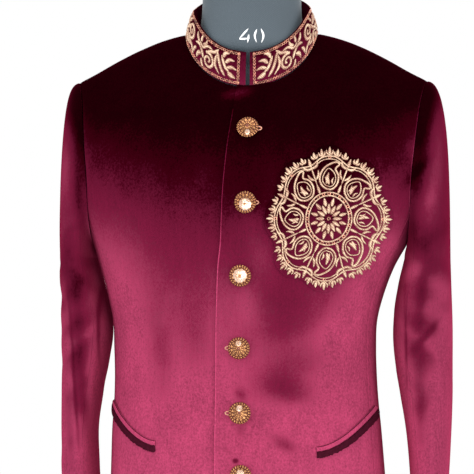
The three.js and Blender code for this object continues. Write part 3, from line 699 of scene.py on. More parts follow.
def painted_light_group():
    """The painted light and shade patches as one node group that every velvet shares."""
    group = bpy.data.node_groups.new("painted_light_patches", "ShaderNodeTree")
    for name, direction in (("x", "INPUT"), ("z", "INPUT"), ("tone", "OUTPUT")):
        group.interface.new_socket(name, in_out=direction, socket_type="NodeSocketFloat")
    maker = Maker("painted_light_patches", group)
    entry = maker.node("NodeGroupInput")
    x, z = entry.value(0), entry.value(1)
    total = 0.0
    for across, up, wide, tall, turn, lift in PAINTED_LIGHT_PATCHES:
        cosine = math.cos(math.radians(turn))
        sine = math.sin(math.radians(turn))
        aside, above = x - across, z - up
        u = aside * (cosine / wide) + above * (sine / wide)
        v = above * (cosine / tall) - aside * (sine / tall)
        total = total + ((u * u + v * v) * -1.0).exponential() * lift
    maker.node("NodeGroupOutput", None, {0: total})
    return group


def rgba(colour):
    return (*colour[:3], 1.0)


def height_ramp(maker, height, low, high, stops):
    """A colour that changes with height, blended between stops at heights in metres."""
    factor = (height - low) / (high - low)
    placed = [((level - low) / (high - low), colour) for level, colour in stops]
    return maker.ramp(factor.clamped(), placed)


# ---------------------------------------------------------------- materials

# Painted shade and light by height, over the pile's own tone: the velvet runs from bright at the hem to near
# black at the shoulders. Heights in metres.
NAP_AND_SHADE_LOW = 0.70
NAP_AND_SHADE_HIGH = 1.46
NAP_AND_SHADE_BRIGHT = 0.80
NAP_AND_SHADE_SOFTENED = 1.02
NAP_AND_SHADE_MIDDLE = 1.16
NAP_AND_SHADE_DARK = 1.29
NAP_AND_SHADE_BLACK = 1.36

# How far brushing moves that tone, in metres: over a whole panel, in patches and in small tufts.
PANEL_SWEEP = 0.09
PATCH_SWEEP = 0.13
TUFT_SWEEP = 0.19

# Painted light and shade: patches that lift or lower the tone where the jacket is lit or shaded, such as
# shadows by the buttons and light on the folds. Middle across and up, half widths (m), turn and lift of the
# tone.
PAINTED_LIGHT_PATCHES = (
    (-0.185, 1.200, 0.045, 0.100, 0, -0.022),
    (-0.180, 1.290, 0.055, 0.050, 0, -0.030),
    (-0.165, 1.140, 0.045, 0.090, 0, -0.085),
    (-0.012, 1.372, 0.026, 0.010, 10, -0.170),
    (0.020, 1.180, 0.020, 0.050, 20, -0.070),
    (0.010, 1.240, 0.050, 0.040, 0, 0.040),
    (0.030, 1.190, 0.024, 0.030, 0, 0.030),
    (0.004, 1.105, 0.016, 0.030, 0, -0.050),
    (0.055, 1.100, 0.035, 0.060, 12, 0.070),
    (0.030, 1.000, 0.030, 0.120, 0, 0.020),
    (0.070, 1.030, 0.060, 0.022, 34, 0.055),
    (0.165, 1.160, 0.034, 0.100, -8, -0.085),
    (0.120, 1.070, 0.050, 0.020, 28, -0.090),
    (-0.105, 1.035, 0.016, 0.060, 6, 0.060),
    (-0.035, 1.090, 0.018, 0.060, -10, -0.020),
    (0.060, 0.992, 0.036, 0.020, -14, 0.100),
    (0.054, 0.926, 0.026, 0.013, -24, 0.160),
    (-0.009, 0.907, 0.005, 0.004, 0, 0.270),
    (-0.020, 0.921, 0.004, 0.007, 20, 0.120),
    (-0.004, 0.945, 0.007, 0.013, -20, 0.070),
    (-0.004, 0.990, 0.008, 0.010, 30, 0.080),
    (-0.206, 1.085, 0.016, 0.070, 0, 0.035),
    (0.204, 1.020, 0.010, 0.100, 0, 0.030),
    (0.005, 0.925, 0.018, 0.050, 0, 0.060),
    (-0.120, 0.990, 0.040, 0.020, -20, 0.030),
    (-0.236, 1.285, 0.018, 0.090, 3, -0.200),
    (-0.201, 1.140, 0.010, 0.050, 0, -0.090),
    (-0.221, 1.110, 0.011, 0.034, 8, 0.040),
    (-0.2155, 1.020, 0.010, 0.080, 4, 0.105),
    (0.241, 1.305, 0.016, 0.110, -4, -0.220),
    (0.234, 1.150, 0.012, 0.018, 0, 0.110),
    (0.219, 1.273, 0.006, 0.020, -40, 0.090),
    (0.229, 1.234, 0.011, 0.022, -20, -0.070),
    (0.211, 1.300, 0.009, 0.018, 0, -0.060),
    (0.212, 1.192, 0.007, 0.022, 0, 0.050),
    (-0.2175, 1.232, 0.006, 0.040, 4, 0.080),
    (0.206, 1.150, 0.010, 0.026, 0, -0.080),
    (0.205, 1.335, 0.030, 0.030, 0, -0.050),
    (0.231, 1.066, 0.005, 0.026, -40, 0.100),
    (0.203, 1.000, 0.0022, 0.100, 1, 0.080),
    (0.214, 1.190, 0.010, 0.050, 0, 0.010),
    (0.232, 1.185, 0.030, 0.012, 40, 0.070),
    (0.222, 1.145, 0.030, 0.014, 40, -0.060),
    (0.220, 0.965, 0.011, 0.090, 1, 0.135),
    (0.222, 1.115, 0.007, 0.040, -6, 0.080),
    (0.250, 1.100, 0.014, 0.050, 20, -0.060),
    (-0.230, 1.140, 0.024, 0.034, 20, 0.080),
    (-0.2225, 0.985, 0.0024, 0.110, 4, 0.090),
    (-0.230, 0.912, 0.010, 0.075, 4, 0.110),
    (-0.195, 1.060, 0.0024, 0.075, 0, 0.100),
    (0.241, 0.970, 0.006, 0.110, -4, -0.060),
    (-0.058, 1.055, 0.022, 0.045, 0, 0.045),
    (0.185, 1.146, 0.016, 0.030, 0, -0.070),
    (-0.212, 0.960, 0.008, 0.055, 4, 0.100),
)


def velvet(name, tone=1.0, deep=0.0, up_facing_shade=0.09, sheen=1.0):
    """Cotton velvet. The pile lies down the cloth; its tone is painted shade and light by height, moved by
    noise and by painted light and shade patches.
    deep moves the tone towards the painted dark of the shoulders, and the fourth argument paints shade on
    faces that look up."""
    cloth = bpy.context.scene.jacket_cloth
    maker = Maker(name)
    place = maker.place()
    x, _, z = maker.axes(place)
    brushing_and_painted_light = maker.noise(maker.stretched(place, (9.0, 9.0, 3.2)), 1.0, 3.0, 0.55)
    patches = maker.noise(maker.stretched(place, (26.0, 26.0, 17.0)), 1.0, 4.0, 0.65)
    tufts = maker.noise(maker.stretched(place, (420.0, 420.0, 340.0)), 1.0, 2.0, 0.7)
    patchy, tufted = patches - 0.5, tufts - 0.5
    nap_and_shade_height = z + (brushing_and_painted_light - 0.5) * PANEL_SWEEP + patchy * PATCH_SWEEP + tufted * TUFT_SWEEP
    aside, back, up = maker.axes(maker.node("ShaderNodeTexCoord").value("Normal"))
    front = (0.9 - back).clamped()
    # Painted light and shade: the patches act on faces that look forward, faces that look up are shaded
    # darker, and faces turned to the sides are lit brighter like a rim light.
    nap_and_shade_height = nap_and_shade_height + deep + maker.brushing_and_painted_light(x, z) * front + up * up_facing_shade - aside * aside * 0.05
    dark, middle, bright = (rgba(c) for c in (cloth.dark, cloth.middle, cloth.bright))
    colour = height_ramp(maker, nap_and_shade_height, NAP_AND_SHADE_LOW, NAP_AND_SHADE_HIGH, (
        (NAP_AND_SHADE_BRIGHT, bright),
        (NAP_AND_SHADE_SOFTENED, tuple(0.8 * b + 0.2 * m for b, m in zip(bright, middle))),
        (NAP_AND_SHADE_MIDDLE, middle),
        (NAP_AND_SHADE_DARK, dark),
        (NAP_AND_SHADE_BLACK, tuple(0.3 * c for c in dark)),
    ))
    pile = maker.noise(place, cloth.pile_per_metre, 2.0, 0.6)
    streaks = maker.noise(maker.stretched(place, (420.0, 420.0, 22.0)), 1.0, 1.0)
    mottled = patchy * 0.80 + tufted * 1.40
    # Painted fill light: faces turned towards the body's middle, as on the sleeves' inner sides, are
    # lightened by up to 42%.
    inward_fill_light = (aside * x * -5.0).clamped()
    speckle_and_fill_light = (0.72 + pile * 0.40 + streaks * 0.20 + mottled) * (1.0 + inward_fill_light * 0.42)
    grey = maker.node("ShaderNodeCombineColor", None, {0: speckle_and_fill_light, 1: speckle_and_fill_light, 2: speckle_and_fill_light}).value()
    colour = maker.mix(1.0, colour, grey, "MULTIPLY")
    if tone != 1.0:
        colour = maker.mix(1.0, colour, (tone, tone, tone, 1.0), "MULTIPLY")
    shade = 0.82 + (pile - 0.5) * 0.2
    normal = maker.bump(pile * 0.7 + patches * 0.5, 0.0006, 0.6)
    return maker.surface(
        Base_Color=colour, Roughness=shade, Normal=normal,
        Sheen_Weight=cloth.sheen * sheen, Sheen_Roughness=0.38, Sheen_Tint=rgba(cloth.sheen_tint),
        Specular_IOR_Level=0.0)


def thread(name, colour, deep, twist_per_metre=900.0):
    """Metallic embroidery thread laid in satin stitch."""
    maker = Maker(name)
    place = maker.place()
    x, y, z = maker.axes(place)
    strands = ((x * 0.8 + z * 1.1 + y * 0.6) * twist_per_metre * 2).sine()
    uneven = maker.noise(place, 420.0, 2.0)
    turned = maker.noise(place, 120.0, 2.0)
    # Noise and the strands mix the lit thread colour with its shade colour: painted shade on the stitches.
    lay = strands * 0.24 + uneven * 0.9 + turned * 1.5 - 0.62
    shade = maker.mix(lay.clamped(), rgba(deep), rgba(colour))
    normal = maker.bump(strands * 0.5 + uneven, 0.0004, 0.8)
    return maker.surface(Base_Color=shade, Roughness=0.42 + uneven * 0.2, Metallic=0.25, Normal=normal,
                         Specular_IOR_Level=0.5)


def threads(name, trim):
    """The lit crown of each stroke and its shaded flanks."""
    flank = tuple((a + 2 * b) / 3 for a, b in zip(trim.thread, trim.thread_shade))
    return [thread(name, trim.thread, trim.thread_shade), thread(f"{name}_flank", flank, trim.thread_shade)]


def sequin(name, colour):
    """Copper-pink ring sequins. Noise darkens them in patches, a painted shade standing in for their uneven
    glints, and varies their roughness.
    """
    maker = Maker(name)
    place = maker.place()
    uneven = maker.noise(place, 260.0, 2.0)
    deep = tuple(0.14 * c for c in colour)
    shade = maker.mix((uneven * 3.0 - 1.0).clamped(), rgba(deep), rgba(colour))
    return maker.surface(Base_Color=shade, Roughness=0.25 + uneven * 0.2, Metallic=0.55)


def metal(name, colour, deep, rough=0.26):
    """Cast brass, mixed with a darker colour in noise patches."""
    maker = Maker(name)
    place = maker.place()
    grime = maker.noise(place, 330.0, 3.0)
    shade = maker.mix((grime * 1.7 - 0.45).clamped(), rgba(colour), rgba(deep))
    normal = maker.bump(maker.noise(place, 900.0, 2.0), 0.0002, 0.4)
    return maker.surface(Base_Color=shade, Roughness=rough + grime * 0.16, Metallic=1.0, Normal=normal)


def enamel(name, colour):
    """Dark red ground seen through the buttons' openings."""
    maker = Maker(name)
    place = maker.place()
    uneven = maker.noise(place, 500.0, 2.0)
    shade = maker.mix(uneven, rgba(tuple(0.5 * c for c in colour)), rgba(colour))
    return maker.surface(Base_Color=shade, Roughness=0.55 + uneven * 0.2)


def knit_cover(name, colour):
    """Slate jersey stretched over the form, with its fine knit and faint wear."""
    maker = Maker(name)
    place = maker.place()
    x, y, z = maker.axes(place)
    wales = ((x + y * 0.7) * 2600.0).sine() * (z * 2200.0).sine()
    cloud = maker.noise(place, 11.0, 3.0)
    shade = maker.mix((cloud * 0.8 + wales * 0.1).clamped(), rgba(tuple(0.8 * c for c in colour)),
                      rgba(tuple(1.22 * c for c in colour)))
    normal = maker.bump(wales, 0.0003, 0.35)
    return maker.surface(Base_Color=shade, Roughness=0.72 + wales * 0.05, Normal=normal,
                         Sheen_Weight=0.15, Sheen_Roughness=0.4)


def paint(name, colour, rough=0.5):
    """Brushed-on paint, thin in places."""
    maker = Maker(name)
    place = maker.place()
    streaks = maker.noise(maker.stretched(place, (30.0, 30.0, 4.0)), 6.0, 3.0)
    shade = maker.mix(streaks, rgba(tuple(0.82 * c for c in colour)), rgba(colour))
    normal = maker.bump(streaks, 0.0002, 0.3)
    return maker.surface(Base_Color=shade, Roughness=rough + streaks * 0.12, Normal=normal)


# ---------------------------------------------------------------- cloth pieces

def yoke_grid(side, facing, rows, shares):
    """The upper part of a front or back, from the shoulder seam to the chest."""
    t = np.linspace(0, 1, rows)
    end_gap = COLLAR_GAP_LEFT if side > 0 else COLLAR_GAP_RIGHT
    if facing > 0:
        corner = 90.0
        neck_angle = corner * np.minimum(t / NECK_SHARE, 1)
    else:
        edge = edge_across(side, NECK_SIDE_HEIGHT)
        corner = math.degrees(math.acos(edge / NECK_HALF_WIDTH))
        collar_end = math.degrees(math.acos(end_gap / NECK_HALF_WIDTH))
        knee = NECK_SHARE * 5 / 6
        neck_angle = np.interp(t, (0, knee, NECK_SHARE), (0, collar_end, corner))
    inner_across, inner_height = neckline(neck_angle, facing)
    _, corner_height = neckline(np.array(corner), facing)
    level = armhole_height(SEAM_ANGLE) + 8
    below = np.clip((t - NECK_SHARE) / (1 - NECK_SHARE), 0, 1)
    lower_height = corner_height + (level - corner_height) * below
    lower_across = edge_across(side, lower_height) if facing < 0 else SEAM / 2 + 0 * t
    inner_across = np.where(t > NECK_SHARE, lower_across, inner_across)
    inner_height = np.where(t > NECK_SHARE, lower_height, inner_height)
    if facing > 0:
        inner_across = np.maximum(inner_across, SEAM / 2)
    angle = SEAM_ANGLE * t
    outer_height = armhole_height(angle)
    trim = np.where(t == 1, SEAM_TURN, 0)
    sine = np.sin(np.radians(armhole_turn(angle) - trim))
    outer_across = BODY.at("half", outer_height) * sine ** (2 / SECTION_POWER)
    inner_share = np.maximum(drop_share(inner_across, inner_height, facing), RIDGE_SHARE)
    outer_share = np.maximum(drop_share(outer_across, outer_height, facing), RIDGE_SHARE)
    outer_share[0] = RIDGE_SHARE
    inner_share[0] = RIDGE_SHARE
    u = shares[None, :]
    share = inner_share[:, None] + (outer_share - inner_share)[:, None] * u
    across = inner_across[:, None] + (outer_across - inner_across)[:, None] * u
    height = yoke_height(across, share, np.full(across.shape, facing))
    return across, height


def lower_grid(side, facing, heights, shares):
    half = BODY.at("half", heights)
    edge = edge_across(side, heights) if facing < 0 else SEAM / 2 + 0 * heights
    start = turn_of(edge, half)[:, None]
    turn = start + (SIDE_SEAM - SEAM_TURN - start) * shares[None, :]
    across = half[:, None] * signed_power(np.sin(np.radians(turn)), 2 / SECTION_POWER)
    return across, np.broadcast_to(heights[:, None], across.shape)


def panel_grid(side, facing, columns=40, yoke_rows=46, step=7.0):
    shares = eased(columns)
    upper_across, upper_height = yoke_grid(side, facing, yoke_rows, shares)
    count = int((CHEST_HEIGHT - HEM_HEIGHT) / step)
    heights = np.linspace(CHEST_HEIGHT, HEM_HEIGHT, count)
    heights = np.concatenate((heights[:-1], HEM_HEIGHT + np.array((3.5, 1.8, 0.7, 0.0))))
    lower_across, lower_height = lower_grid(side, facing, heights, shares)
    across = side * np.concatenate((upper_across, lower_across))
    height = np.concatenate((upper_height, lower_height))
    points, normals = body(across, height, facing)
    return points, normals, across


def side_grid(side, columns=12, step=7.0):
    share = eased(columns, (0.0, 0.02, 0.05))
    angle = SEAM_ANGLE + (360 - 2 * SEAM_ANGLE) * share
    turn = armhole_turn(angle)
    turn[0] += SEAM_TURN
    turn[-1] -= SEAM_TURN
    top = armhole_height(angle)
    first = 1150.0
    fall = np.linspace(1, 0, 12)[:, None]
    upper = first + (top[None, :] - first) * fall
    count = int((first - HEM_HEIGHT) / step)
    heights = np.linspace(first, HEM_HEIGHT, count)[1:]
    lower = np.broadcast_to(heights[:, None], (len(heights), len(turn)))
    height = np.concatenate((upper, lower))
    turns = np.broadcast_to(turn[None, :], height.shape)
    return turned_body(side, turns, height)


def armhole_loop(side, angles):
    height = armhole_height(angles)
    points, normals = turned_body(side, armhole_turn(angles), height)
    tip, tip_normal = body(side * SHOULDER_TIP_ACROSS, SHOULDER_TIP_HEIGHT, FRONT)
    at_tip = (angles % 360) == 0
    points[at_tip] = tip
    normals[at_tip] = tip_normal
    along = np.roll(points, -1, axis=0) - np.roll(points, 1, axis=0)
    into = np.cross(normals, along)
    into /= np.linalg.norm(into, axis=-1, keepdims=True)
    towards = points.mean(axis=0) - points
    into *= np.sign((into * towards).sum(-1, keepdims=True))
    return points, normals, into


def sleeve_start(side, angles):
    points, normals, into = armhole_loop(side, angles)
    turn = np.radians(angles)
    under = np.maximum(-np.cos(turn), 0)
    heading = np.stack((side * (1 - 0.5 * under), -0.35 * np.sin(turn), -0.12 - 0.75 * under), -1)
    heading /= np.linalg.norm(heading, axis=-1, keepdims=True)
    outward = (heading * normals).sum(-1, keepdims=True)
    onward = (heading * into).sum(-1, keepdims=True)
    ahead = points + heading * (SEAM + 0.1 + outward * WALL / 2)
    beside = points + normals * (SEAM + 0.1 + WALL / 2 - onward * WALL / 2)
    return np.where(onward >= 0, ahead, beside), heading


def sleeve_ring(side, angles, height):
    sizes = SLEEVE_LEFT if side > 0 else SLEEVE_RIGHT
    outer = sizes.at("outer", height)
    inner = sizes.at("inner", height)
    turn = np.radians(angles)
    x = (outer + inner) / 2 + (outer - inner) / 2 * signed_power(np.cos(turn), 0.9)
    y = sizes.at("middle", height) - sizes.at("depth", height) * signed_power(np.sin(turn), 0.9)
    return np.stack((side * x, y, np.full(x.shape, float(height))), -1)


def sleeve_fold(angles, height):
    total = np.zeros(np.shape(height))
    for turn, level, slant, width, rise in SLEEVE_FOLDS:
        away = (height - level - slant * (angles - turn)) / width
        total = total + rise * np.exp(-away ** 2 - ((angles - turn) / 48) ** 2)
    return total


def sleeve_tube(side, columns=84, cap_rows=26, step=8.0):
    angles = np.linspace(0, 360, columns, endpoint=False)
    start, heading = sleeve_start(side, angles)
    end = sleeve_ring(side, angles, BICEP_HEIGHT)
    cosine = np.cos(np.radians(angles))
    fullness = np.maximum(cosine, 0) ** 2
    reach = (10.5 + 7.5 * cosine + 4 * fullness)[:, None]
    leave = start + heading * reach
    arrive = end.copy()
    arrive[:, 2] += (0.6 + 0.04 * fullness) * (start[:, 2] - end[:, 2])
    rows = []
    for t in np.linspace(0, 1, cap_rows):
        rows.append((1 - t) ** 3 * start + 3 * t * (1 - t) ** 2 * leave
                    + 3 * t * t * (1 - t) * arrive + t ** 3 * end)
    count = int((BICEP_HEIGHT - CUFF_HEIGHT) / step)
    heights = np.linspace(BICEP_HEIGHT, CUFF_HEIGHT, count)[1:-1]
    for height in (*heights, CUFF_HEIGHT + 3, CUFF_HEIGHT + 1, CUFF_HEIGHT):
        rows.append(sleeve_ring(side, angles, height))
    points = np.stack(rows)
    down = np.gradient(points, axis=0)
    around = np.roll(points, -1, axis=1) - np.roll(points, 1, axis=1)
    normals = side * np.cross(down, around)
    normals /= np.linalg.norm(normals, axis=-1, keepdims=True)
    fade = np.clip((np.arange(len(rows)) - cap_rows * 0.35) / (cap_rows * 0.65), 0, 1)[:, None]
    wrapped = np.broadcast_to(angles[None, :], points.shape[:2])
    lift = fade * sleeve_fold(wrapped, points[..., 2])
    lift = lift + 0.5 * fade * ripple(wrapped * 1.3, points[..., 2] * 1.6)
    return points, normals, lift, angles


def sleeve_part(tube, first, last):
    """The columns between two seam angles, with half the seam's gap left at each."""
    points, normals, lift, angles = tube
    count = len(angles)
    step = 360 / count
    columns = np.arange(round(first / step), round(last / step) + 1) % count
    picked = points[:, columns].copy()
    for end, neighbour in ((0, 1), (-1, -2)):
        inward = picked[:, neighbour] - picked[:, end]
        inward /= np.linalg.norm(inward, axis=-1, keepdims=True)
        picked[:, end] += inward * (SEAM / 2 + 0.05)
    return picked, normals[:, columns], lift[:, columns]


# ---------------------------------------------------------------- collar surface

def collar_base(count=240):
    """Points and rims along the collar, from the wearer's left end round to the right one."""
    pieces = []
    for side, facing in ((1, FRONT), (1, BACK), (-1, BACK), (-1, FRONT)):
        gap = COLLAR_GAP_LEFT if side > 0 else COLLAR_GAP_RIGHT
        last = math.degrees(math.acos(gap / NECK_HALF_WIDTH)) if facing < 0 else 90.0
        angles = np.linspace(0, last, count // 4)
        if (side > 0) == (facing < 0):
            angles = angles[::-1]
        across, height = neckline(angles, facing)
        share = np.maximum(drop_share(across, height, facing), RIDGE_SHARE)
        level = yoke_height(across, share, np.full(across.shape, facing))
        points, normals = body(side * across, level, facing)
        if pieces:
            points, normals = points[1:], normals[1:]
        pieces.append((points, normals))
    points = np.concatenate([p for p, n in pieces])
    normals = np.concatenate([n for p, n in pieces])
    back = np.maximum(points[:, 1], 0) / 58
    front = np.maximum(-points[:, 1], 0) / 70
    rise = (COLLAR_HEIGHT_SIDE + (COLLAR_HEIGHT_BACK - COLLAR_HEIGHT_SIDE) * back
            + (COLLAR_HEIGHT_FRONT - COLLAR_HEIGHT_SIDE) * front
            - COLLAR_SIDE_DIP * np.exp(-(points[:, 1] / COLLAR_DIP_SPREAD) ** 2))
    rim = points * np.array((COLLAR_TAPER, COLLAR_TAPER + 0.03, 1)) + rise[:, None] * np.array((0, 0, 1))
    up = rim - points
    up /= np.linalg.norm(up, axis=-1, keepdims=True)
    clear = SEAM + 0.5 + np.abs((up * normals).sum(-1)) * WALL / 2
    return points + up * clear[:, None], rim


def smoothed(values, passes):
    values = values.copy()
    for _ in range(passes):
        values[1:-1] = (values[:-2] + 2 * values[1:-1] + values[2:]) / 4
    return values


class CollarSurface:
    """The collar's outer face, by distance along it (mm) and height up it (0 to 1)."""

    def __init__(self):
        base, rim = collar_base()
        self.base = smoothed(base, 4)
        self.rim = smoothed(rim, 10)
        middle = (self.base + self.rim) / 2
        steps = np.linalg.norm(np.diff(middle, axis=0), axis=-1)
        self.reach = np.concatenate(((0,), np.cumsum(steps)))
        self.length = self.reach[-1]

    def _line(self, points, distance):
        return np.stack([np.interp(distance, self.reach, points[:, i]) for i in range(3)], -1)

    def at(self, distance, share):
        base = self._line(self.base, distance)
        rim = self._line(self.rim, distance)
        share = np.asarray(share)[..., None]
        crown = 0.9 * np.sin(np.pi * np.clip(share, 0, 1))
        point = base + (rim - base) * share
        step = 1.5
        ahead = self._line(self.base, distance + step) - self._line(self.base, distance - step)
        ahead = ahead + self._line(self.rim, distance + step) - self._line(self.rim, distance - step)
        normal = np.cross(ahead, rim - base)
        normal /= np.linalg.norm(normal, axis=-1, keepdims=True)
        return point + normal * crown, normal


# ---------------------------------------------------------------- embroidery

def spline(points, count):
    """A smooth curve through a few given points."""
    points = np.asarray(points, float)
    ends = np.concatenate(([2 * points[0] - points[1]], points, [2 * points[-1] - points[-2]]))
    t = np.linspace(0, len(points) - 1 - 1e-6, count)
    index = t.astype(int)
    f = (t - index)[:, None]
    a, b, c, d = (ends[index + k] for k in range(4))
    return 0.5 * (2 * b + (c - a) * f + (2 * a - 5 * b + 4 * c - d) * f ** 2
                  + (3 * b - a - 3 * c + d) * f ** 3)


def even_width(count, width):
    t = np.linspace(0, 1, count)
    return width * np.minimum(1, 0.35 + 4 * np.minimum(t, 1 - t))


def leaf_width(count, width):
    t = np.linspace(0, 1, count)
    return width * (0.22 + 0.78 * np.sin(np.pi * t ** 0.75) ** 0.9)


def leaf(base, tip, bend, width, count=10):
    """A leaf-shaped stitch from base to tip, bent to one side."""
    base, tip = np.asarray(base, float), np.asarray(tip, float)
    across = np.array((-(tip - base)[1], (tip - base)[0]))
    line = spline((base, (base + tip) / 2 + across * bend, tip), count)
    return line, leaf_width(count, width)


def stem(points, width, count=18):
    line = spline(points, count)
    return line, even_width(count, width)


def volute(centre, radius, start, turns, width, count=26):
    """A spiral that winds in to its centre."""
    t = np.linspace(0, 1, count)
    angle = math.radians(start) + 2 * math.pi * turns * t
    size = radius * (1 - t) ** 0.8 + 0.12 * radius
    line = np.stack((centre[0] + size * np.cos(angle), centre[1] + size * np.sin(angle)), -1)
    return line, width * (1.05 - 0.35 * t)


def ribbon_mesh(strokes, lay, crown=1.1):
    """Crowned ribbons of thread along the strokes. lay puts flat places on the cloth. Slot 0 is the
    crown and slot 1 the outer flanks and the ends."""
    section = np.array(((-1, 0), (-0.55, 0.78), (0, 1), (0.55, 0.78), (1, 0), (0, -0.15)))
    flanks = (0, 3)
    points = []
    faces = []
    face_slots = []
    start = 0
    for line, width in strokes:
        direction = np.gradient(line, axis=0)
        direction /= np.linalg.norm(direction, axis=-1, keepdims=True) + 1e-9
        beside = np.stack((-direction[:, 1], direction[:, 0]), -1)
        rings = []
        for across, rise in section:
            flat = line + beside * (across * width / 2)[:, None]
            place, normal = lay(flat[:, 0], flat[:, 1])
            height = rise * crown * np.minimum(1, width / 2.2)
            rings.append(place + normal * height[:, None])
        rings = np.stack(rings, 1)
        count, sides = rings.shape[:2]
        points.append(rings.reshape(-1, 3))
        for i in range(count - 1):
            for k in range(sides):
                n = (k + 1) % sides
                a = start + i * sides
                b = a + sides
                faces.append((a + k, a + n, b + n, b + k))
                face_slots.append(1 if k in flanks else 0)
        faces.append(tuple(start + k for k in range(sides))[::-1])
        last = start + (count - 1) * sides
        faces.append(tuple(last + k for k in range(sides)))
        face_slots += [1, 1]
        start += count * sides
    return np.concatenate(points), faces, face_slots


def ring_mesh(places, normals, along, radius, wire, count=10, sides=5):
    """Small rings lying on a surface, one at each place."""
    turn = np.linspace(0, 2 * np.pi, count, endpoint=False)
    round_wire = np.linspace(0, 2 * np.pi, sides, endpoint=False)
    points = []
    faces = []
    for index, (place, normal, ahead) in enumerate(zip(places, normals, along)):
        ahead = ahead - normal * np.dot(ahead, normal)
        ahead /= np.linalg.norm(ahead)
        beside = np.cross(normal, ahead)
        for angle in turn:
            out = ahead * math.cos(angle) + beside * math.sin(angle)
            for w in round_wire:
                points.append(place + out * (radius + wire * math.cos(w)) + normal * wire * (1 + math.sin(w)))
        start = index * count * sides
        for i in range(count):
            j = (i + 1) % count
            for k in range(sides):
                n = (k + 1) % sides
                faces.append((start + i * sides + k, start + j * sides + k,
                              start + j * sides + n, start + i * sides + n))
    return np.array(points), faces


def mirror_strokes(strokes, scale, shift):
    return [(line * np.array(scale) + np.array(shift), width) for line, width in strokes]


def palmette():
    """The spray of leaves at the collar's front edge. Distances from the edge, heights in mm."""
    return [
        leaf((16.5, 14.5), (6.0, 8.0), 0.06, 6.4),
        leaf((18.5, 19.5), (4.8, 19.0), -0.16, 5.0),
        leaf((20.5, 25), (8.0, 30.5), -0.22, 5.2),
        leaf((24.5, 31), (15.5, 39.0), -0.26, 5.2),
        stem(((27, 33), (23.5, 25), (19.5, 18.5), (15, 15)), 4.2),
        stem(((35, 36), (31.5, 27), (27, 17), (20, 7.5)), 4.2),
        leaf((35, 31), (28, 7.5), 0.20, 4.6),
    ]


def scroll_unit():
    """One repeat of the running vine: a volute, its stem and the leaves that grow from it."""
    return [
        volute((13, 16), 9.2, 60, 1.5, 4.2),
        stem(((18, 24.5), (11, 29.5), (4, 32), (-2, 38)), 4.4),
        stem(((22, 14), (27, 21), (35, 26), (43, 23)), 4.6),
        stem(((8, 33), (17, 33), (26, 27), (34, 30)), 3.6),
        leaf((27, 30), (20, 39.5), 0.18, 5.2),
        leaf((31, 31), (30, 40.5), -0.12, 4.6),
        leaf((35, 29), (43, 37.5), -0.20, 5.4),
        leaf((28, 18), (36, 7.0), 0.20, 5.6),
        leaf((26, 12), (20, 3.8), 0.16, 4.2),
        leaf((40, 18), (44.5, 8.0), 0.18, 4.4),
    ]


def collar_strokes(length):
    """Both halves of the collar carry the same vine, mirrored about the centre back."""
    half = palmette()
    place = 35.0
    flip = False
    while place + COLLAR_REPEAT * 0.5 < length / 2:
        unit = scroll_unit()
        if flip:
            unit = mirror_strokes(unit, (1, -1), (0, 43))
        half += mirror_strokes(unit, (1, 1), (place, 0))
        place += COLLAR_REPEAT
        flip = not flip
    half = [(line, width) for line, width in half if line[:, 0].max() < length / 2 - 1]
    return half + mirror_strokes(half, (-1, 1), (length, 0))


def petal_scale(angle, radius):
    return 1 - 0.1 * np.abs(np.sin(MOTIF_PETALS * angle / 2)) ** 3 * radius


def motif_relief(radius, angle):
    petal = np.abs(np.cos(MOTIF_PETALS * angle / 2))
    edge = 1 - np.clip(radius, 0, 1) ** 4
    return 0.7 + edge * (0.5 + 1.1 * petal)


def lap_lift(across):
    return LAP_LIFT * (1 - smoothstep(across, LAP_LEVEL, LAP_END))


def motif_place(x, y):
    """Puts a flat place of the chest motif (mm from its middle) on its raised ground."""
    angle = np.arctan2(x / MOTIF_HALF_WIDTH, y / MOTIF_HALF_LENGTH)
    radius = np.hypot(x / MOTIF_HALF_WIDTH, y / MOTIF_HALF_LENGTH)
    points, normals = body(MOTIF_ACROSS + x, MOTIF_HEIGHT + y, FRONT)
    rise = WALL / 2 + MOTIF_LIFT + lap_lift(MOTIF_ACROSS + x) + motif_relief(radius, angle)
    return points + normals * np.asarray(rise)[..., None], normals


def polar(radius, angle):
    """A place in the motif's oval, by share of its radius and angle from its top."""
    turn = math.radians(angle)
    return (MOTIF_HALF_WIDTH * radius * math.sin(turn), MOTIF_HALF_LENGTH * radius * math.cos(turn))


def rosette():
    strokes = []
    for i in range(12):
        angle = 30 * i
        strokes.append(leaf(polar(0.07, angle), polar(0.20, angle), 0.0, 5.0, 9))
        strokes.append(leaf(polar(0.17, angle + 15), polar(0.285, angle + 15), 0.0, 4.6, 9))
    for radius in (0.31, 0.355):
        circle = [polar(radius, a) for a in range(0, 361, 15)]
        strokes.append((spline(circle, 72), np.full(72, 1.9)))
    return strokes


def paisley(angle):
    """A curled drop outlined in thread, with a leaf and dots of stitch inside."""
    strokes = []
    outline = [polar(r, angle + a) for r, a in (
        (0.39, 2), (0.43, -11), (0.53, -16), (0.63, -12), (0.71, -4), (0.77, 7),
        (0.75, 12), (0.68, 8), (0.60, 13.5), (0.50, 15), (0.42, 10), (0.39, 2))]
    strokes.append((spline(outline, 40), np.full(40, 2.6)))
    inner = [polar(r, angle + a) for r, a in (
        (0.43, 1), (0.46, -8), (0.53, -11.5), (0.61, -8), (0.68, -1),
        (0.61, 8), (0.52, 10.5), (0.45, 7), (0.43, 1))]
    strokes.append((spline(inner, 32), np.full(32, 1.5)))
    strokes.append(leaf(polar(0.46, angle), polar(0.62, angle - 1), 0.14, 5.0, 9))
    strokes.append(leaf(polar(0.47, angle - 6), polar(0.57, angle - 7), -0.16, 2.6, 7))
    strokes.append(leaf(polar(0.47, angle + 6), polar(0.56, angle + 7), 0.16, 2.6, 7))
    return strokes


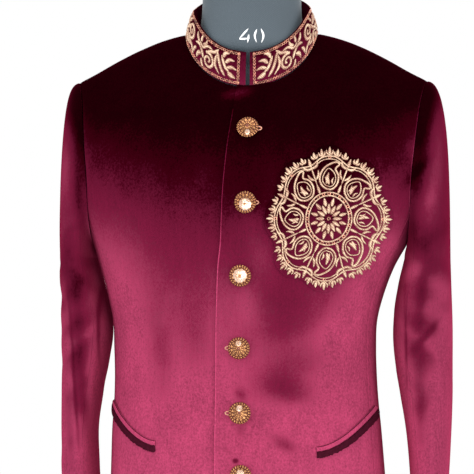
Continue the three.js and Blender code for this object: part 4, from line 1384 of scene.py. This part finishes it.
def outer_sprays():
    strokes = []
    for i in range(MOTIF_PETALS):
        between = PETAL_STEP * (i + 0.5)
        strokes.append(leaf(polar(0.36, between), polar(0.50, between), 0.0, 3.6, 7))
        strokes.append(stem((polar(0.50, between), polar(0.62, between), polar(0.74, between)), 2.2, 9))
        for lean in (-1, 1):
            strokes.append(leaf(polar(0.56, between + 1.5 * lean), polar(0.68, between + 7.5 * lean),
                                -0.12 * lean, 3.4, 7))
            strokes.append(leaf(polar(0.72, between), polar(0.82, between + 9 * lean), -0.2 * lean, 3.6, 8))
        strokes.append(leaf(polar(0.74, between), polar(0.87, between), 0.0, 4.4, 8))
    for i in range(MOTIF_PETALS):
        petal = PETAL_STEP * i
        for turn in (-16, -8, 0, 8, 16):
            reach = 0.972 - 0.0028 * abs(turn)
            foot = 0.858 - 0.0014 * abs(turn)
            strokes.append(leaf(polar(foot, petal + turn), polar(reach, petal + turn), 0.0, 4.4, 8))
            for lean in (-1, 1):
                tip = polar(reach - 0.035, petal + turn + 3.1 * lean)
                strokes.append(leaf(polar(foot, petal + turn), tip, -0.22 * lean, 3.0, 7))
    return strokes


def motif_strokes():
    strokes = rosette() + outer_sprays()
    for i in range(MOTIF_PETALS):
        strokes += paisley(PETAL_STEP * i)
    garland = []
    for a in range(0, 361, 5):
        turn = math.radians(a)
        garland.append(polar(0.845 * petal_scale(turn, 0.9), a))
    strokes.append((spline(garland, 190), np.full(190, 2.2)))
    strokes.append((0.955 * spline(garland, 190), np.full(190, 1.4)))
    return strokes


# ---------------------------------------------------------------- properties

class JacketCloth(bpy.types.PropertyGroup):
    """The velvet's colours and pile."""

    # The dark, middle and bright colours are the stops of the velvet's height ramp, which paints shade and
    # light over the pile's own tone.
    dark: FloatVectorProperty(
        name="Dark", description="Pile brushed away from the light", subtype="COLOR",
        default=(0.020, 0.0001, 0.0022), min=0, max=1)
    middle: FloatVectorProperty(
        name="Middle", description="Pile at rest", subtype="COLOR",
        default=(0.098, 0.0055, 0.022), min=0, max=1)
    bright: FloatVectorProperty(
        name="Bright", description="Pile brushed towards the light", subtype="COLOR",
        default=(0.285, 0.034, 0.083), min=0, max=1)
    sheen_tint: FloatVectorProperty(
        name="Sheen tint", description="Colour of the pile's edge light", subtype="COLOR",
        default=(0.60, 0.02, 0.09), min=0, max=1)
    sheen: FloatProperty(
        name="Sheen", description="Strength of the pile's edge light", default=0.06, min=0, max=1)
    pile_per_metre: FloatProperty(
        name="Pile per metre", description="How fine the pile's tufts are", default=900.0, min=100)


class JacketTrim(bpy.types.PropertyGroup):
    """Embroidery and buttons."""

    thread: FloatVectorProperty(
        name="Thread", description="Lit embroidery thread", subtype="COLOR",
        default=(0.74, 0.56, 0.38), min=0, max=1)
    thread_shade: FloatVectorProperty(
        name="Thread shade", description="Thread in its own shadow", subtype="COLOR",
        default=(0.22, 0.075, 0.050), min=0, max=1)
    sequin: FloatVectorProperty(
        name="Sequin", description="Ring sequins", subtype="COLOR",
        default=(0.82, 0.36, 0.24), min=0, max=1)
    brass: FloatVectorProperty(
        name="Brass", description="Buttons' high places", subtype="COLOR",
        default=(0.56, 0.29, 0.12), min=0, max=1)
    # Pale colour of the buttons' painted reflections.
    painted_reflection: FloatVectorProperty(
        name="Polish", description="Buttons' polished spots", subtype="COLOR",
        default=(0.94, 0.76, 0.66), min=0, max=1)
    brass_shade: FloatVectorProperty(
        name="Brass shade", description="Buttons' hollows", subtype="COLOR",
        default=(0.22, 0.07, 0.03), min=0, max=1)
    ground: FloatVectorProperty(
        name="Button ground", description="Colour behind the buttons' openings", subtype="COLOR",
        default=(0.12, 0.010, 0.010), min=0, max=1)
    sequin_pitch: FloatProperty(
        name="Sequin pitch", description="Distance from one ring to the next", unit="LENGTH",
        default=0.0036, min=0.001)


class JacketStand(bpy.types.PropertyGroup):
    """The dress form and its stand."""

    cover: FloatVectorProperty(
        name="Cover", description="Jersey over the form", subtype="COLOR",
        default=(0.045, 0.062, 0.076), min=0, max=1)
    metal: FloatVectorProperty(
        name="Metal", description="Pole and base", subtype="COLOR",
        default=(0.022, 0.024, 0.027), min=0, max=1)
    size_number: IntProperty(name="Size", description="Size painted on the neck", default=40, min=0, max=99)


class JacketStage(bpy.types.PropertyGroup):
    """Camera, lights and floor."""

    turn: FloatProperty(
        name="Camera turn", description="Turn towards the wearer's left", unit="ROTATION",
        default=math.radians(5.5))
    distance: FloatProperty(
        name="Camera distance", description="From the jacket's middle", unit="LENGTH", default=3.5, min=0.5)
    width: FloatProperty(
        name="Framed width", description="Width framed at the jacket's middle", unit="LENGTH",
        default=0.619, min=0.1)
    aim: FloatVectorProperty(
        name="Aim", description="Place at the middle of the frame", subtype="XYZ", unit="LENGTH",
        default=(-0.020, 0.0, 1.188))
    floor: FloatVectorProperty(
        name="Floor", description="Floor colour", subtype="COLOR", default=(0.82, 0.82, 0.82), min=0, max=1)


GROUPS = (
    ("jacket_cloth", JacketCloth),
    ("jacket_trim", JacketTrim),
    ("jacket_stand", JacketStand),
    ("jacket_stage", JacketStage),
)

SIDES = (("left", 1), ("right", -1))


class JACKET_OT_fronts(bpy.types.Operator):
    """Make the two fronts. The wearer's left one laps over the right"""

    bl_idname = "jacket.fronts"
    bl_label = "Fronts"

    def execute(self, context):
        material = velvet("velvet_front")
        # A painted highlight: brighter velvet for the turned front edge and the armhole's ridge.
        edge = velvet("velvet_front_edge_highlight", 1.35, -0.10)
        for name, side in SIDES:
            points, normals, across = panel_grid(side, FRONT)
            lift = lap_lift(across) if side > 0 else 0.0
            edge_highlight_material = edge if side > 0 else None
            piece = make_shell(f"front_{name}_velvet", points, normals, material, lift, edge_highlight_material)
            settle(piece, [f"front_{name}"])
        return {"FINISHED"}


class JACKET_OT_backs(bpy.types.Operator):
    """Make the two backs and the two side bodies"""

    bl_idname = "jacket.backs"
    bl_label = "Backs and sides"

    def execute(self, context):
        material = velvet("velvet_back", deep=0.02)
        for name, side in SIDES:
            points, normals, _ = panel_grid(side, BACK)
            piece = make_shell(f"back_{name}_velvet", points, normals, material)
            settle(piece, [f"back_{name}"])
            points, normals = side_grid(side)
            piece = make_shell(f"side_{name}_velvet", points, normals, material)
            settle(piece, [f"side_{name}"])
        return {"FINISHED"}


class JACKET_OT_sleeves(bpy.types.Operator):
    """Make each sleeve from an upper and an under piece"""

    bl_idname = "jacket.sleeves"
    bl_label = "Sleeves"

    def execute(self, context):
        material = velvet("velvet_sleeve", tone=0.84, deep=0.03, up_facing_shade=0.24, sheen=3.5)
        for name, side in SIDES:
            tube = sleeve_tube(side)
            seam = SLEEVE_SEAM_ANGLE
            for part, first, last in (("upper", -seam, seam), ("under", seam, 360 - seam)):
                points, normals, lift = sleeve_part(tube, first, last)
                piece = make_shell(f"sleeve_{name}_{part}_velvet", points, normals, material, lift)
                settle(piece, [f"sleeve_{name}_{part}"])
        return {"FINISHED"}


def collar_shell(surface):
    """The band's mesh, turned in at its edges."""
    distance = surface.length * eased(150, (0.0, 0.001, 0.0025, 0.006))
    share = eased(9, (0.0, 0.012, 0.04))
    spots = [surface.at(distance, np.full(distance.shape, s)) for s in share]
    points = np.stack([p for p, n in spots])
    normals = np.stack([n for p, n in spots])
    outer, inner = turned_edges(points, COLLAR_WALL, 0.8, 1.6)
    return shell_mesh(points, normals, outer, inner)


def collar_sequins(surface, worked, pitch):
    """Rings along the worked part's lower, upper and end edges, sunk a little in the pile."""
    count = int(worked / pitch)
    along = np.linspace(SEQUIN_INSET, worked - SEQUIN_INSET, count)
    ends = np.linspace(0.1, 0.9, int(0.8 * COLLAR_HEIGHT_FRONT / pitch))
    runs = [(along, np.full(count, 0.065)), (along, np.full(count, 0.925))]
    runs += [(np.full(len(ends), d), ends) for d in (SEQUIN_INSET, worked - SEQUIN_INSET)]
    x = COLLAR_PLAIN_LEFT + np.concatenate([a for a, b in runs])
    y = np.concatenate([b for a, b in runs])
    places, normals = surface.at(x, y)
    ahead, _ = surface.at(x + 1.0, y)
    places = places + normals * (COLLAR_WALL / 2 - 0.25)
    return ring_mesh(places, normals, ahead - places, 1.45, 0.46)


class JACKET_OT_collar(bpy.types.Operator):
    """Make the stand collar with its embroidered vine and ring sequins"""

    bl_idname = "jacket.collar"
    bl_label = "Collar"

    def execute(self, context):
        trim = context.scene.jacket_trim
        surface = CollarSurface()
        worked = surface.length - COLLAR_PLAIN_LEFT - COLLAR_PLAIN_RIGHT
        vertices, faces = collar_shell(surface)
        collar = new_object("collar_velvet", vertices, faces, [velvet("velvet_collar", 1.0, -0.20)], sharp=60)
        settle(collar, ["collar"])

        def lay(x, y):
            place, normal = surface.at(COLLAR_PLAIN_LEFT + x, y / COLLAR_HEIGHT_FRONT)
            return place + normal * (COLLAR_WALL / 2), normal

        gold = threads("collar_thread", trim)
        vertices, faces, slots = ribbon_mesh(collar_strokes(worked), lay, 1.5)
        vine = new_object("collar_vine", vertices, faces, gold, sharp=80, face_slots=slots)
        settle(vine)

        vertices, faces = collar_sequins(surface, worked, trim.sequin_pitch / MM)
        rings = new_object("collar_sequins", vertices, faces, [sequin("ring_sequins", trim.sequin)], sharp=80)
        settle(rings)
        return {"FINISHED"}


def motif_ground():
    """The motif's raised oval: a flat back and a front in petals that fall away at the edge."""
    spokes = 192
    radii = np.concatenate((np.linspace(0.02, 0.97, 34), (0.985, 0.995, 1.0)))
    angle = np.linspace(0, 2 * np.pi, spokes, endpoint=False)
    bottom = WALL / 2 + MOTIF_LIFT
    layers = []
    for raised in (True, False):
        rings = []
        for radius in radii:
            scale = radius * petal_scale(angle, radius)
            x = MOTIF_ACROSS + MOTIF_HALF_WIDTH * scale * np.sin(angle)
            y = MOTIF_HEIGHT + MOTIF_HALF_LENGTH * scale * np.cos(angle)
            point, normal = body(x, y, FRONT)
            relief = motif_relief(radius, angle) if raised else 0 * angle
            edge = 0.6 * math.exp(-((1 - radius) / 0.012) ** 2) if raised else 0.0
            rise = bottom + lap_lift(x) + relief - edge
            rings.append(point + normal * rise[:, None])
        layers.append(rings)
    return loft_mesh(layers[0][::-1] + layers[1])


class JACKET_OT_motif(bpy.types.Operator):
    """Make the oval chest motif: a raised ground with a rosette, paisleys and leaf sprays"""

    bl_idname = "jacket.motif"
    bl_label = "Chest motif"

    def execute(self, context):
        trim = context.scene.jacket_trim
        vertices, faces = motif_ground()
        ground = new_object("chest_motif_ground", vertices, faces,
                            [velvet("velvet_motif", 0.9, 0.02)], sharp=70)
        settle(ground, ["chest_motif"])
        gold = threads("motif_thread", trim)
        vertices, faces, slots = ribbon_mesh(motif_strokes(), motif_place, 1.7)
        stitch = new_object("chest_motif_stitch", vertices, faces, gold, sharp=80, face_slots=slots)
        settle(stitch)
        beads = [(0.0, 0.0)] + [polar(0.335, a) for a in range(0, 360, 15)]
        beads += [polar(0.83, PETAL_STEP * i) for i in range(MOTIF_PETALS)]
        x, y = np.array(beads).T
        places, normals = motif_place(x, y)
        ahead, _ = motif_place(x + 1.0, y)
        vertices, faces = ring_mesh(places, normals, ahead - places, 1.7, 0.7)
        rings = new_object("chest_motif_sequins", vertices, faces,
                           [sequin("motif_sequins", trim.sequin)], sharp=80)
        settle(rings)
        return {"FINISHED"}


def pocket_height(across, name):
    inner = POCKET_INNER[name]
    share = np.clip((across - inner) / (POCKET_OUTER - inner), 0, None)
    return POCKET_LOW[name] + POCKET_RISE * share ** POCKET_BEND


def welt_grid(name, side, upper, stations=60):
    inner = POCKET_INNER[name]
    width = UPPER_WELT_WIDTH if upper else LOWER_WELT_WIDTH
    across = inner + (POCKET_OUTER - inner) * eased(stations, (0.0, 0.01, 0.03))
    middle = pocket_height(across, name)
    slope = pocket_height(across + 0.5, name) - pocket_height(across - 0.5, name)
    length = np.hypot(1, slope)
    away = (SEAM + (width - SEAM) * np.linspace(0, 1, 9)) * (1 if upper else -1)
    half = BODY.at("half", middle) - 1
    outwards = np.minimum(across[:, None] - away[None, :] * (slope / length)[:, None], half[:, None])
    height = middle[:, None] + away[None, :] / length[:, None]
    return body(side * outwards, height, FRONT)


def welt_mesh(points, normals):
    """A crowned band that stands on the cloth and thins at its ends."""
    bottom = WALL / 2 + TRIM_LIFT
    crown = 0.55 + 0.45 * np.sin(np.pi * np.linspace(0, 1, points.shape[1])) ** 0.6
    ends = np.minimum(np.arange(len(points)), np.arange(len(points))[::-1]) / 3
    outer = bottom + WELT_RISE * crown[None, :] * np.minimum(0.35 + ends, 1)[:, None]
    return shell_mesh(points, normals, outer, np.full(points.shape[:2], bottom))


def top_edge_slots(points, faces):
    """Slot 1 for the outer faces along a welt's upper edge, slot 0 for the rest."""
    rows, columns = points.shape[0] - 1, points.shape[1] - 1
    top = 0 if points[:, 0, 2].mean() > points[:, -1, 2].mean() else columns - 1
    slots = np.zeros(len(faces), int)
    slots[:rows * columns].reshape(rows, columns)[:, top] = 1
    return slots


class JACKET_OT_pockets(bpy.types.Operator):
    """Make the curved double welts of both pockets"""

    bl_idname = "jacket.pockets"
    bl_label = "Pockets"

    def execute(self, context):
        bright = velvet("velvet_welt_upper", 1.12)
        dark = velvet("velvet_welt_lower", 0.13)
        ragged = np.random.default_rng(7)
        for name, side in SIDES:
            for part, upper, materials in (("upper", True, [bright, dark]), ("lower", False, [dark])):
                points, normals = welt_grid(name, side, upper)
                if not upper:
                    for column in (0, -1):
                        points[2:-2, column, 2] += ragged.uniform(-WELT_RAGGED, WELT_RAGGED, len(points) - 4)
                vertices, faces = welt_mesh(points, normals)
                node = f"pocket_{name}_{part}_welt"
                slots = top_edge_slots(points, faces) if upper else None
                piece = new_object(f"{node}_velvet", vertices, faces, materials, sharp=60, face_slots=slots)
                settle(piece, [node])
        return {"FINISHED"}


def button_face(reflection_spot):
    """A domed filigree button: a beaded rim round twelve petals and a centre bead. Inside the given circle
    the dome carries a painted reflection in a pale colour. Slot 0 is brass, 1 the dark ground, 2 the painted
    reflection."""
    spokes = 192
    turn = np.linspace(0, 2 * np.pi, spokes, endpoint=False)
    radii = np.concatenate((
        np.linspace(0.03, 0.22, 6), np.linspace(0.25, 0.72, 20), np.linspace(0.74, 1.0, 14)))
    reflection_radius, reflection_height = reflection_spot
    rings = []
    kinds = []
    for radius in radii:
        height = BUTTON_RISE * (0.16 + 0.84 * math.sqrt(max(1 - (radius * 0.93) ** 2, 0)))
        petal = math.sin(math.pi * min(max((radius - 0.26) / 0.46, 0), 1)) ** 0.7
        between = np.abs(np.sin(BUTTON_PETALS * turn / 2))
        opening = (between < 0.86 * petal) & (between > 0.25 * petal)
        beads = np.cos(BUTTON_BEADS * turn)
        bead = beads * math.exp(-((radius - 0.9) / 0.06) ** 2)
        groove = (0.72 < radius < 0.79) or (0.2 < radius < 0.26)
        hollow = opening | groove | ((radius > 0.8) & (radius < 0.99) & (beads < -0.25))
        rise = height + 0.6 * bead + 0.8 * math.exp(-(radius / 0.16) ** 2) - 0.7 * hollow
        x = BUTTON_RADIUS * radius * np.cos(turn)
        z = BUTTON_RADIUS * radius * np.sin(turn)
        rings.append(np.stack((x, z, rise + 0 * turn), -1))
        # Painted reflection: faces inside the circle take the pale colour, except a smaller spot in the large
        # ones.
        near = np.hypot(x, z - reflection_height) < reflection_radius
        middle = (radius < 0.12) & (reflection_radius < 6)
        spot = np.hypot(x, z - 0.6 * reflection_height) < 0.26 * max(reflection_radius - 6, 0) * 3
        kinds.append(np.where(near & ~spot, 2, np.where(hollow | middle, 1, 0)))
    under = np.stack((BUTTON_RADIUS * 0.9 * np.cos(turn), BUTTON_RADIUS * 0.9 * np.sin(turn), 0 * turn), -1)
    points, faces = loft_mesh([under] + rings[::-1])
    kinds = [np.zeros(spokes, int)] + kinds[::-1]
    face_slots = [int(kind[c]) for kind in kinds[1:] for c in range(spokes)]
    return points, faces, face_slots + [0, 0]


def button_place(index):
    point, normal = body(BUTTON_ACROSS, float(BUTTON_HEIGHTS[index]), FRONT)
    lift = WALL / 2 + LAP_LIFT + TRIM_LIFT
    return Vector(point + normal * lift), Vector(normal)


class JACKET_OT_buttons(bpy.types.Operator):
    """Make the filigree buttons and their worked buttonholes"""

    bl_idname = "jacket.buttons"
    bl_label = "Buttons"

    def execute(self, context):
        trim = context.scene.jacket_trim
        materials = [
            metal("button_brass", trim.brass, trim.brass_shade),
            enamel("button_ground", trim.ground),
            # Slot 2 paints the reflection: the pale colour mixed with brass by noise.
            metal("button_painted_reflection", trim.painted_reflection, trim.brass, 0.12),
        ]
        for index, reflection_spot in enumerate(BUTTON_REFLECTIONS):
            points, faces, face_slots = button_face(reflection_spot)
            place, normal = button_place(index)
            turn = normal.to_track_quat("Z", "Y").to_matrix()
            placed = points @ np.array(turn).T + np.array(place)
            piece = new_object(f"button_{index + 1}_filigree", placed, faces, materials,
                               sharp=50, face_slots=face_slots)
            settle(piece, [f"button_{index + 1}"])
        # Painted shade: the sequin colour darkened to 0.4 shades the buttonhole thread and colours its
        # flanks.
        shaded_copper = tuple(0.4 * c for c in trim.sequin)
        gold = [thread("buttonhole_thread", trim.sequin, shaded_copper), thread("buttonhole_flank", shaded_copper, shaded_copper)]
        strokes = []
        turn = np.linspace(0, 2 * np.pi, 30)
        for height, shift in zip(BUTTON_HEIGHTS, BUTTONHOLE_SHIFTS):
            x = BUTTON_ACROSS + shift + 10.5 * signed_power(np.cos(turn), 0.7)
            line = np.stack((x, height + 2.6 * np.sin(turn)), -1)
            strokes.append((line, np.full(len(turn), 1.7)))

        def lay(x, y):
            point, normal = body(x, y, FRONT)
            return point + normal * (WALL / 2 + LAP_LIFT), normal

        vertices, faces, slots = ribbon_mesh(strokes, lay, 0.8)
        stitched = new_object("buttonholes", vertices, faces, gold, sharp=80, face_slots=slots)
        settle(stitched)
        return {"FINISHED"}


def form_ring(height, half, front, back, middle, power, count=120):
    turn = np.linspace(0, 2 * np.pi, count, endpoint=False)
    depth = np.where(np.cos(turn) > 0, front, back)
    x = half * signed_power(np.sin(turn), 2 / power) + BODY.at("lean", height)
    y = middle - depth * signed_power(np.cos(turn), 2 / power)
    return np.stack((x, y, np.full(count, float(height))), -1)


def form_rings():
    rings = []
    for rise, tuck in ((0, 24), (0.6, 18), (2.2, 12.5), (5, 7.5), (10, 3), (16, 0)):
        sizes = (size - tuck for size in (FORM_BOTTOM_HALF, FORM_BOTTOM_FRONT, FORM_BOTTOM_BACK))
        rings.append(form_ring(FORM_BOTTOM + rise, *sizes, 0, SECTION_POWER))
    for height in np.arange(HEM_HEIGHT, 1160, 15):
        sizes = (BODY.at(key, height) - FORM_CLEARANCE for key in ("half", "front", "back"))
        rings.append(form_ring(height, *sizes, 0, SECTION_POWER))
    for height in np.concatenate((np.arange(CHEST_HEIGHT, 1400, 12), (1404, 1412))):
        sizes = (FORM_SHOULDER.at(key, height) for key in ("half", "front", "back"))
        rings.append(form_ring(height, *sizes, 0, 2.25))
    for height in np.concatenate((np.arange(1427, 1536, 6), (1538, 1541, 1543.5, 1545))):
        half, depth, middle = (FORM_NECK.at(key, height) for key in ("half", "depth", "middle"))
        rings.append(form_ring(height, half, depth, depth, middle, 2))
    return rings


NUMERALS = {
    "0": (((4.0, 17.5), (1.5, 9.0), (3.8, 0.2)), ((9.4, 18.0), (12.6, 8.8), (10.2, 0.0))),
    "4": (((12.2, 18.2), (6.0, 11.2), (0.6, 5.2)), ((0.4, 4.8), (7.0, 4.9), (14.0, 5.6)),
          ((12.8, 10.4), (12.2, 5.2), (11.4, -0.2))),
}


def size_strokes(number):
    """The size's digits as brush strokes, side by side below the neck's rim."""
    strokes = []
    for place, digit in enumerate(f"{number}"):
        for line in NUMERALS.get(digit, ()):
            moved = np.array(line) + np.array((-12.0 + 19.0 * place, 1437.5))
            strokes.append((spline(moved, 20), leaf_width(20, 2.5)))
    return strokes


def neck_place(x, y):
    """Puts a flat place of the painted size on the front of the form's neck."""
    half, depth, middle = (FORM_NECK.at(key, y) for key in ("half", "depth", "middle"))
    bulge = np.sqrt(np.clip(1 - (x / half) ** 2, 0, 1))
    point = np.stack((x, middle - depth * bulge, y), -1)
    normal = np.stack((x / half, -bulge, 0 * x), -1)
    return point, normal / np.linalg.norm(normal, axis=-1, keepdims=True)


def pole_profile():
    foot = BASE_THICKNESS + SEAM
    top = FORM_BOTTOM - SEAM
    profile = [(POLE_RADIUS - 0.6, foot), (POLE_RADIUS, foot + 0.6)]
    profile += [(POLE_RADIUS, h) for h in np.linspace(40, top - 2, 12)]
    return profile + [(POLE_RADIUS, top - 0.6), (POLE_RADIUS - 0.6, top)]


def base_profile():
    profile = [(BASE_RADIUS - 2, 0), (BASE_RADIUS - 0.5, 0.5), (BASE_RADIUS, 2)]
    profile += [(BASE_RADIUS - 10 * (1 - math.cos(a)), 9 + 8 * math.sin(a))
                for a in np.linspace(0, 1.4, 9)]
    return profile + [(POLE_RADIUS + 22, BASE_THICKNESS - 0.4), (POLE_RADIUS + 14, BASE_THICKNESS),
                      (1, BASE_THICKNESS)]


class JACKET_OT_form(bpy.types.Operator):
    """Make the dress form, its pole and its base"""

    bl_idname = "jacket.form"
    bl_label = "Dress form"

    def execute(self, context):
        stand = context.scene.jacket_stand
        points, faces = loft_mesh(form_rings())
        jersey = knit_cover("form_jersey", stand.cover)
        torso = new_object("form_torso_cover", points, faces, [jersey], sharp=50)
        settle(torso, ["form_torso"])
        strokes = size_strokes(stand.size_number)
        if strokes:
            points, faces, _ = ribbon_mesh(strokes, neck_place, 0.35)
            white = paint("white_paint", (0.86, 0.87, 0.88))
            number = new_object("size_number", points, faces, [white], sharp=80)
            settle(number)
        black = paint("stand_paint", stand.metal, 0.34)
        points, faces = lathe_mesh(pole_profile(), 64)
        settle(new_object("stand_pole", points, faces, [black], sharp=50), ["form_pole"])
        points, faces = lathe_mesh(base_profile(), 128)
        settle(new_object("stand_base", points, faces, [black], sharp=50), ["form_base"])
        return {"FINISHED"}


# Soft lights, in metres and watts: name, place, what it points at, size and power.
LIGHTS = (
    ("front_fill", (0.3, -3.4, 0.9), (0, 0, 1.05), (2.4, 1.6), 46),
    ("left_strip", (-2.4, -1.6, 1.2), (0, 0, 1.1), (0.9, 2.2), 38),
    ("right_strip", (2.5, -1.5, 1.2), (0, 0, 1.1), (0.9, 2.2), 38),
    ("top_soft", (0.0, -0.6, 3.2), (0, 0, 1.2), (2.2, 2.2), 30),
    ("back_soft", (0.4, 2.8, 2.0), (0, 0, 1.1), (2.4, 2.0), 40),
)


def add_light(name, place, aim, size, power):
    light = bpy.data.lights.new(name, "AREA")
    light.shape = "RECTANGLE"
    light.size, light.size_y = size
    light.energy = power
    lamp = bpy.data.objects.new(name, light)
    bpy.context.scene.collection.objects.link(lamp)
    lamp.location = place
    lamp.rotation_euler = (Vector(aim) - Vector(place)).to_track_quat("-Z", "Y").to_euler()


def add_camera(stage):
    aim = Vector(stage.aim)
    camera = bpy.data.cameras.new("camera")
    camera.lens = camera.sensor_width * stage.distance / stage.width
    camera.clip_end = 60
    eye = bpy.data.objects.new("camera", camera)
    bpy.context.scene.collection.objects.link(eye)
    eye.location = aim + stage.distance * Vector((math.sin(stage.turn), -math.cos(stage.turn), 0))
    eye.rotation_euler = (aim - eye.location).to_track_quat("-Z", "Y").to_euler()
    return eye


def add_floor(colour):
    mesh = bpy.data.meshes.new("floor")
    turns = [2 * math.pi * i / FLOOR_SIDES for i in range(FLOOR_SIDES)]
    edge = [(FLOOR_RADIUS * math.cos(t), FLOOR_RADIUS * math.sin(t), 0) for t in turns]
    mesh.from_pydata(edge, [], [tuple(range(FLOOR_SIDES))])
    mesh.materials.append(paint("floor_paint", colour, 0.6))
    floor = bpy.data.objects.new("floor", mesh)
    bpy.context.scene.collection.objects.link(floor)


class JACKET_OT_stage(bpy.types.Operator):
    """Set up the camera, the soft lights and the pale floor"""

    bl_idname = "jacket.stage"
    bl_label = "Stage"

    def execute(self, context):
        scene = context.scene
        scene.camera = add_camera(scene.jacket_stage)
        for light in LIGHTS:
            add_light(*light)
        world = bpy.data.worlds.new("studio")
        scene.world = world
        world.use_nodes = True
        background = world.node_tree.nodes["Background"]
        background.inputs["Color"].default_value = (1, 1, 1, 1)
        background.inputs["Strength"].default_value = 1.0
        add_floor(tuple(scene.jacket_stage.floor))
        scene.view_settings.view_transform = "Standard"
        return {"FINISHED"}


class JACKET_PT_panel(bpy.types.Panel):
    """Lists the jacket's pieces and their settings"""

    bl_label = "Velvet jacket"
    bl_idname = "JACKET_PT_panel"
    bl_space_type = "VIEW_3D"
    bl_region_type = "UI"
    bl_category = "Jacket"

    def draw(self, context):
        for operator in OPERATORS:
            self.layout.operator(operator.bl_idname)
        for attribute, group in GROUPS:
            settings = getattr(context.scene, attribute)
            box = self.layout.box()
            for name in group.__annotations__:
                box.prop(settings, name)


OPERATORS = (
    JACKET_OT_stage,
    JACKET_OT_fronts,
    JACKET_OT_backs,
    JACKET_OT_sleeves,
    JACKET_OT_collar,
    JACKET_OT_motif,
    JACKET_OT_pockets,
    JACKET_OT_buttons,
    JACKET_OT_form,
)


def register():
    for attribute, group in GROUPS:
        bpy.utils.register_class(group)
        setattr(bpy.types.Scene, attribute, PointerProperty(type=group))
    for operator in OPERATORS:
        bpy.utils.register_class(operator)
    bpy.utils.register_class(JACKET_PT_panel)


def unregister():
    bpy.utils.unregister_class(JACKET_PT_panel)
    for operator in reversed(OPERATORS):
        bpy.utils.unregister_class(operator)
    for attribute, group in reversed(GROUPS):
        delattr(bpy.types.Scene, attribute)
        bpy.utils.unregister_class(group)


def main():
    register()
    bpy.ops.jacket.stage()
    bpy.ops.jacket.fronts()
    bpy.ops.jacket.backs()
    bpy.ops.jacket.sleeves()
    bpy.ops.jacket.collar()
    bpy.ops.jacket.motif()
    bpy.ops.jacket.pockets()
    bpy.ops.jacket.buttons()
    bpy.ops.jacket.form()


if __name__ == "__main__":
    main()
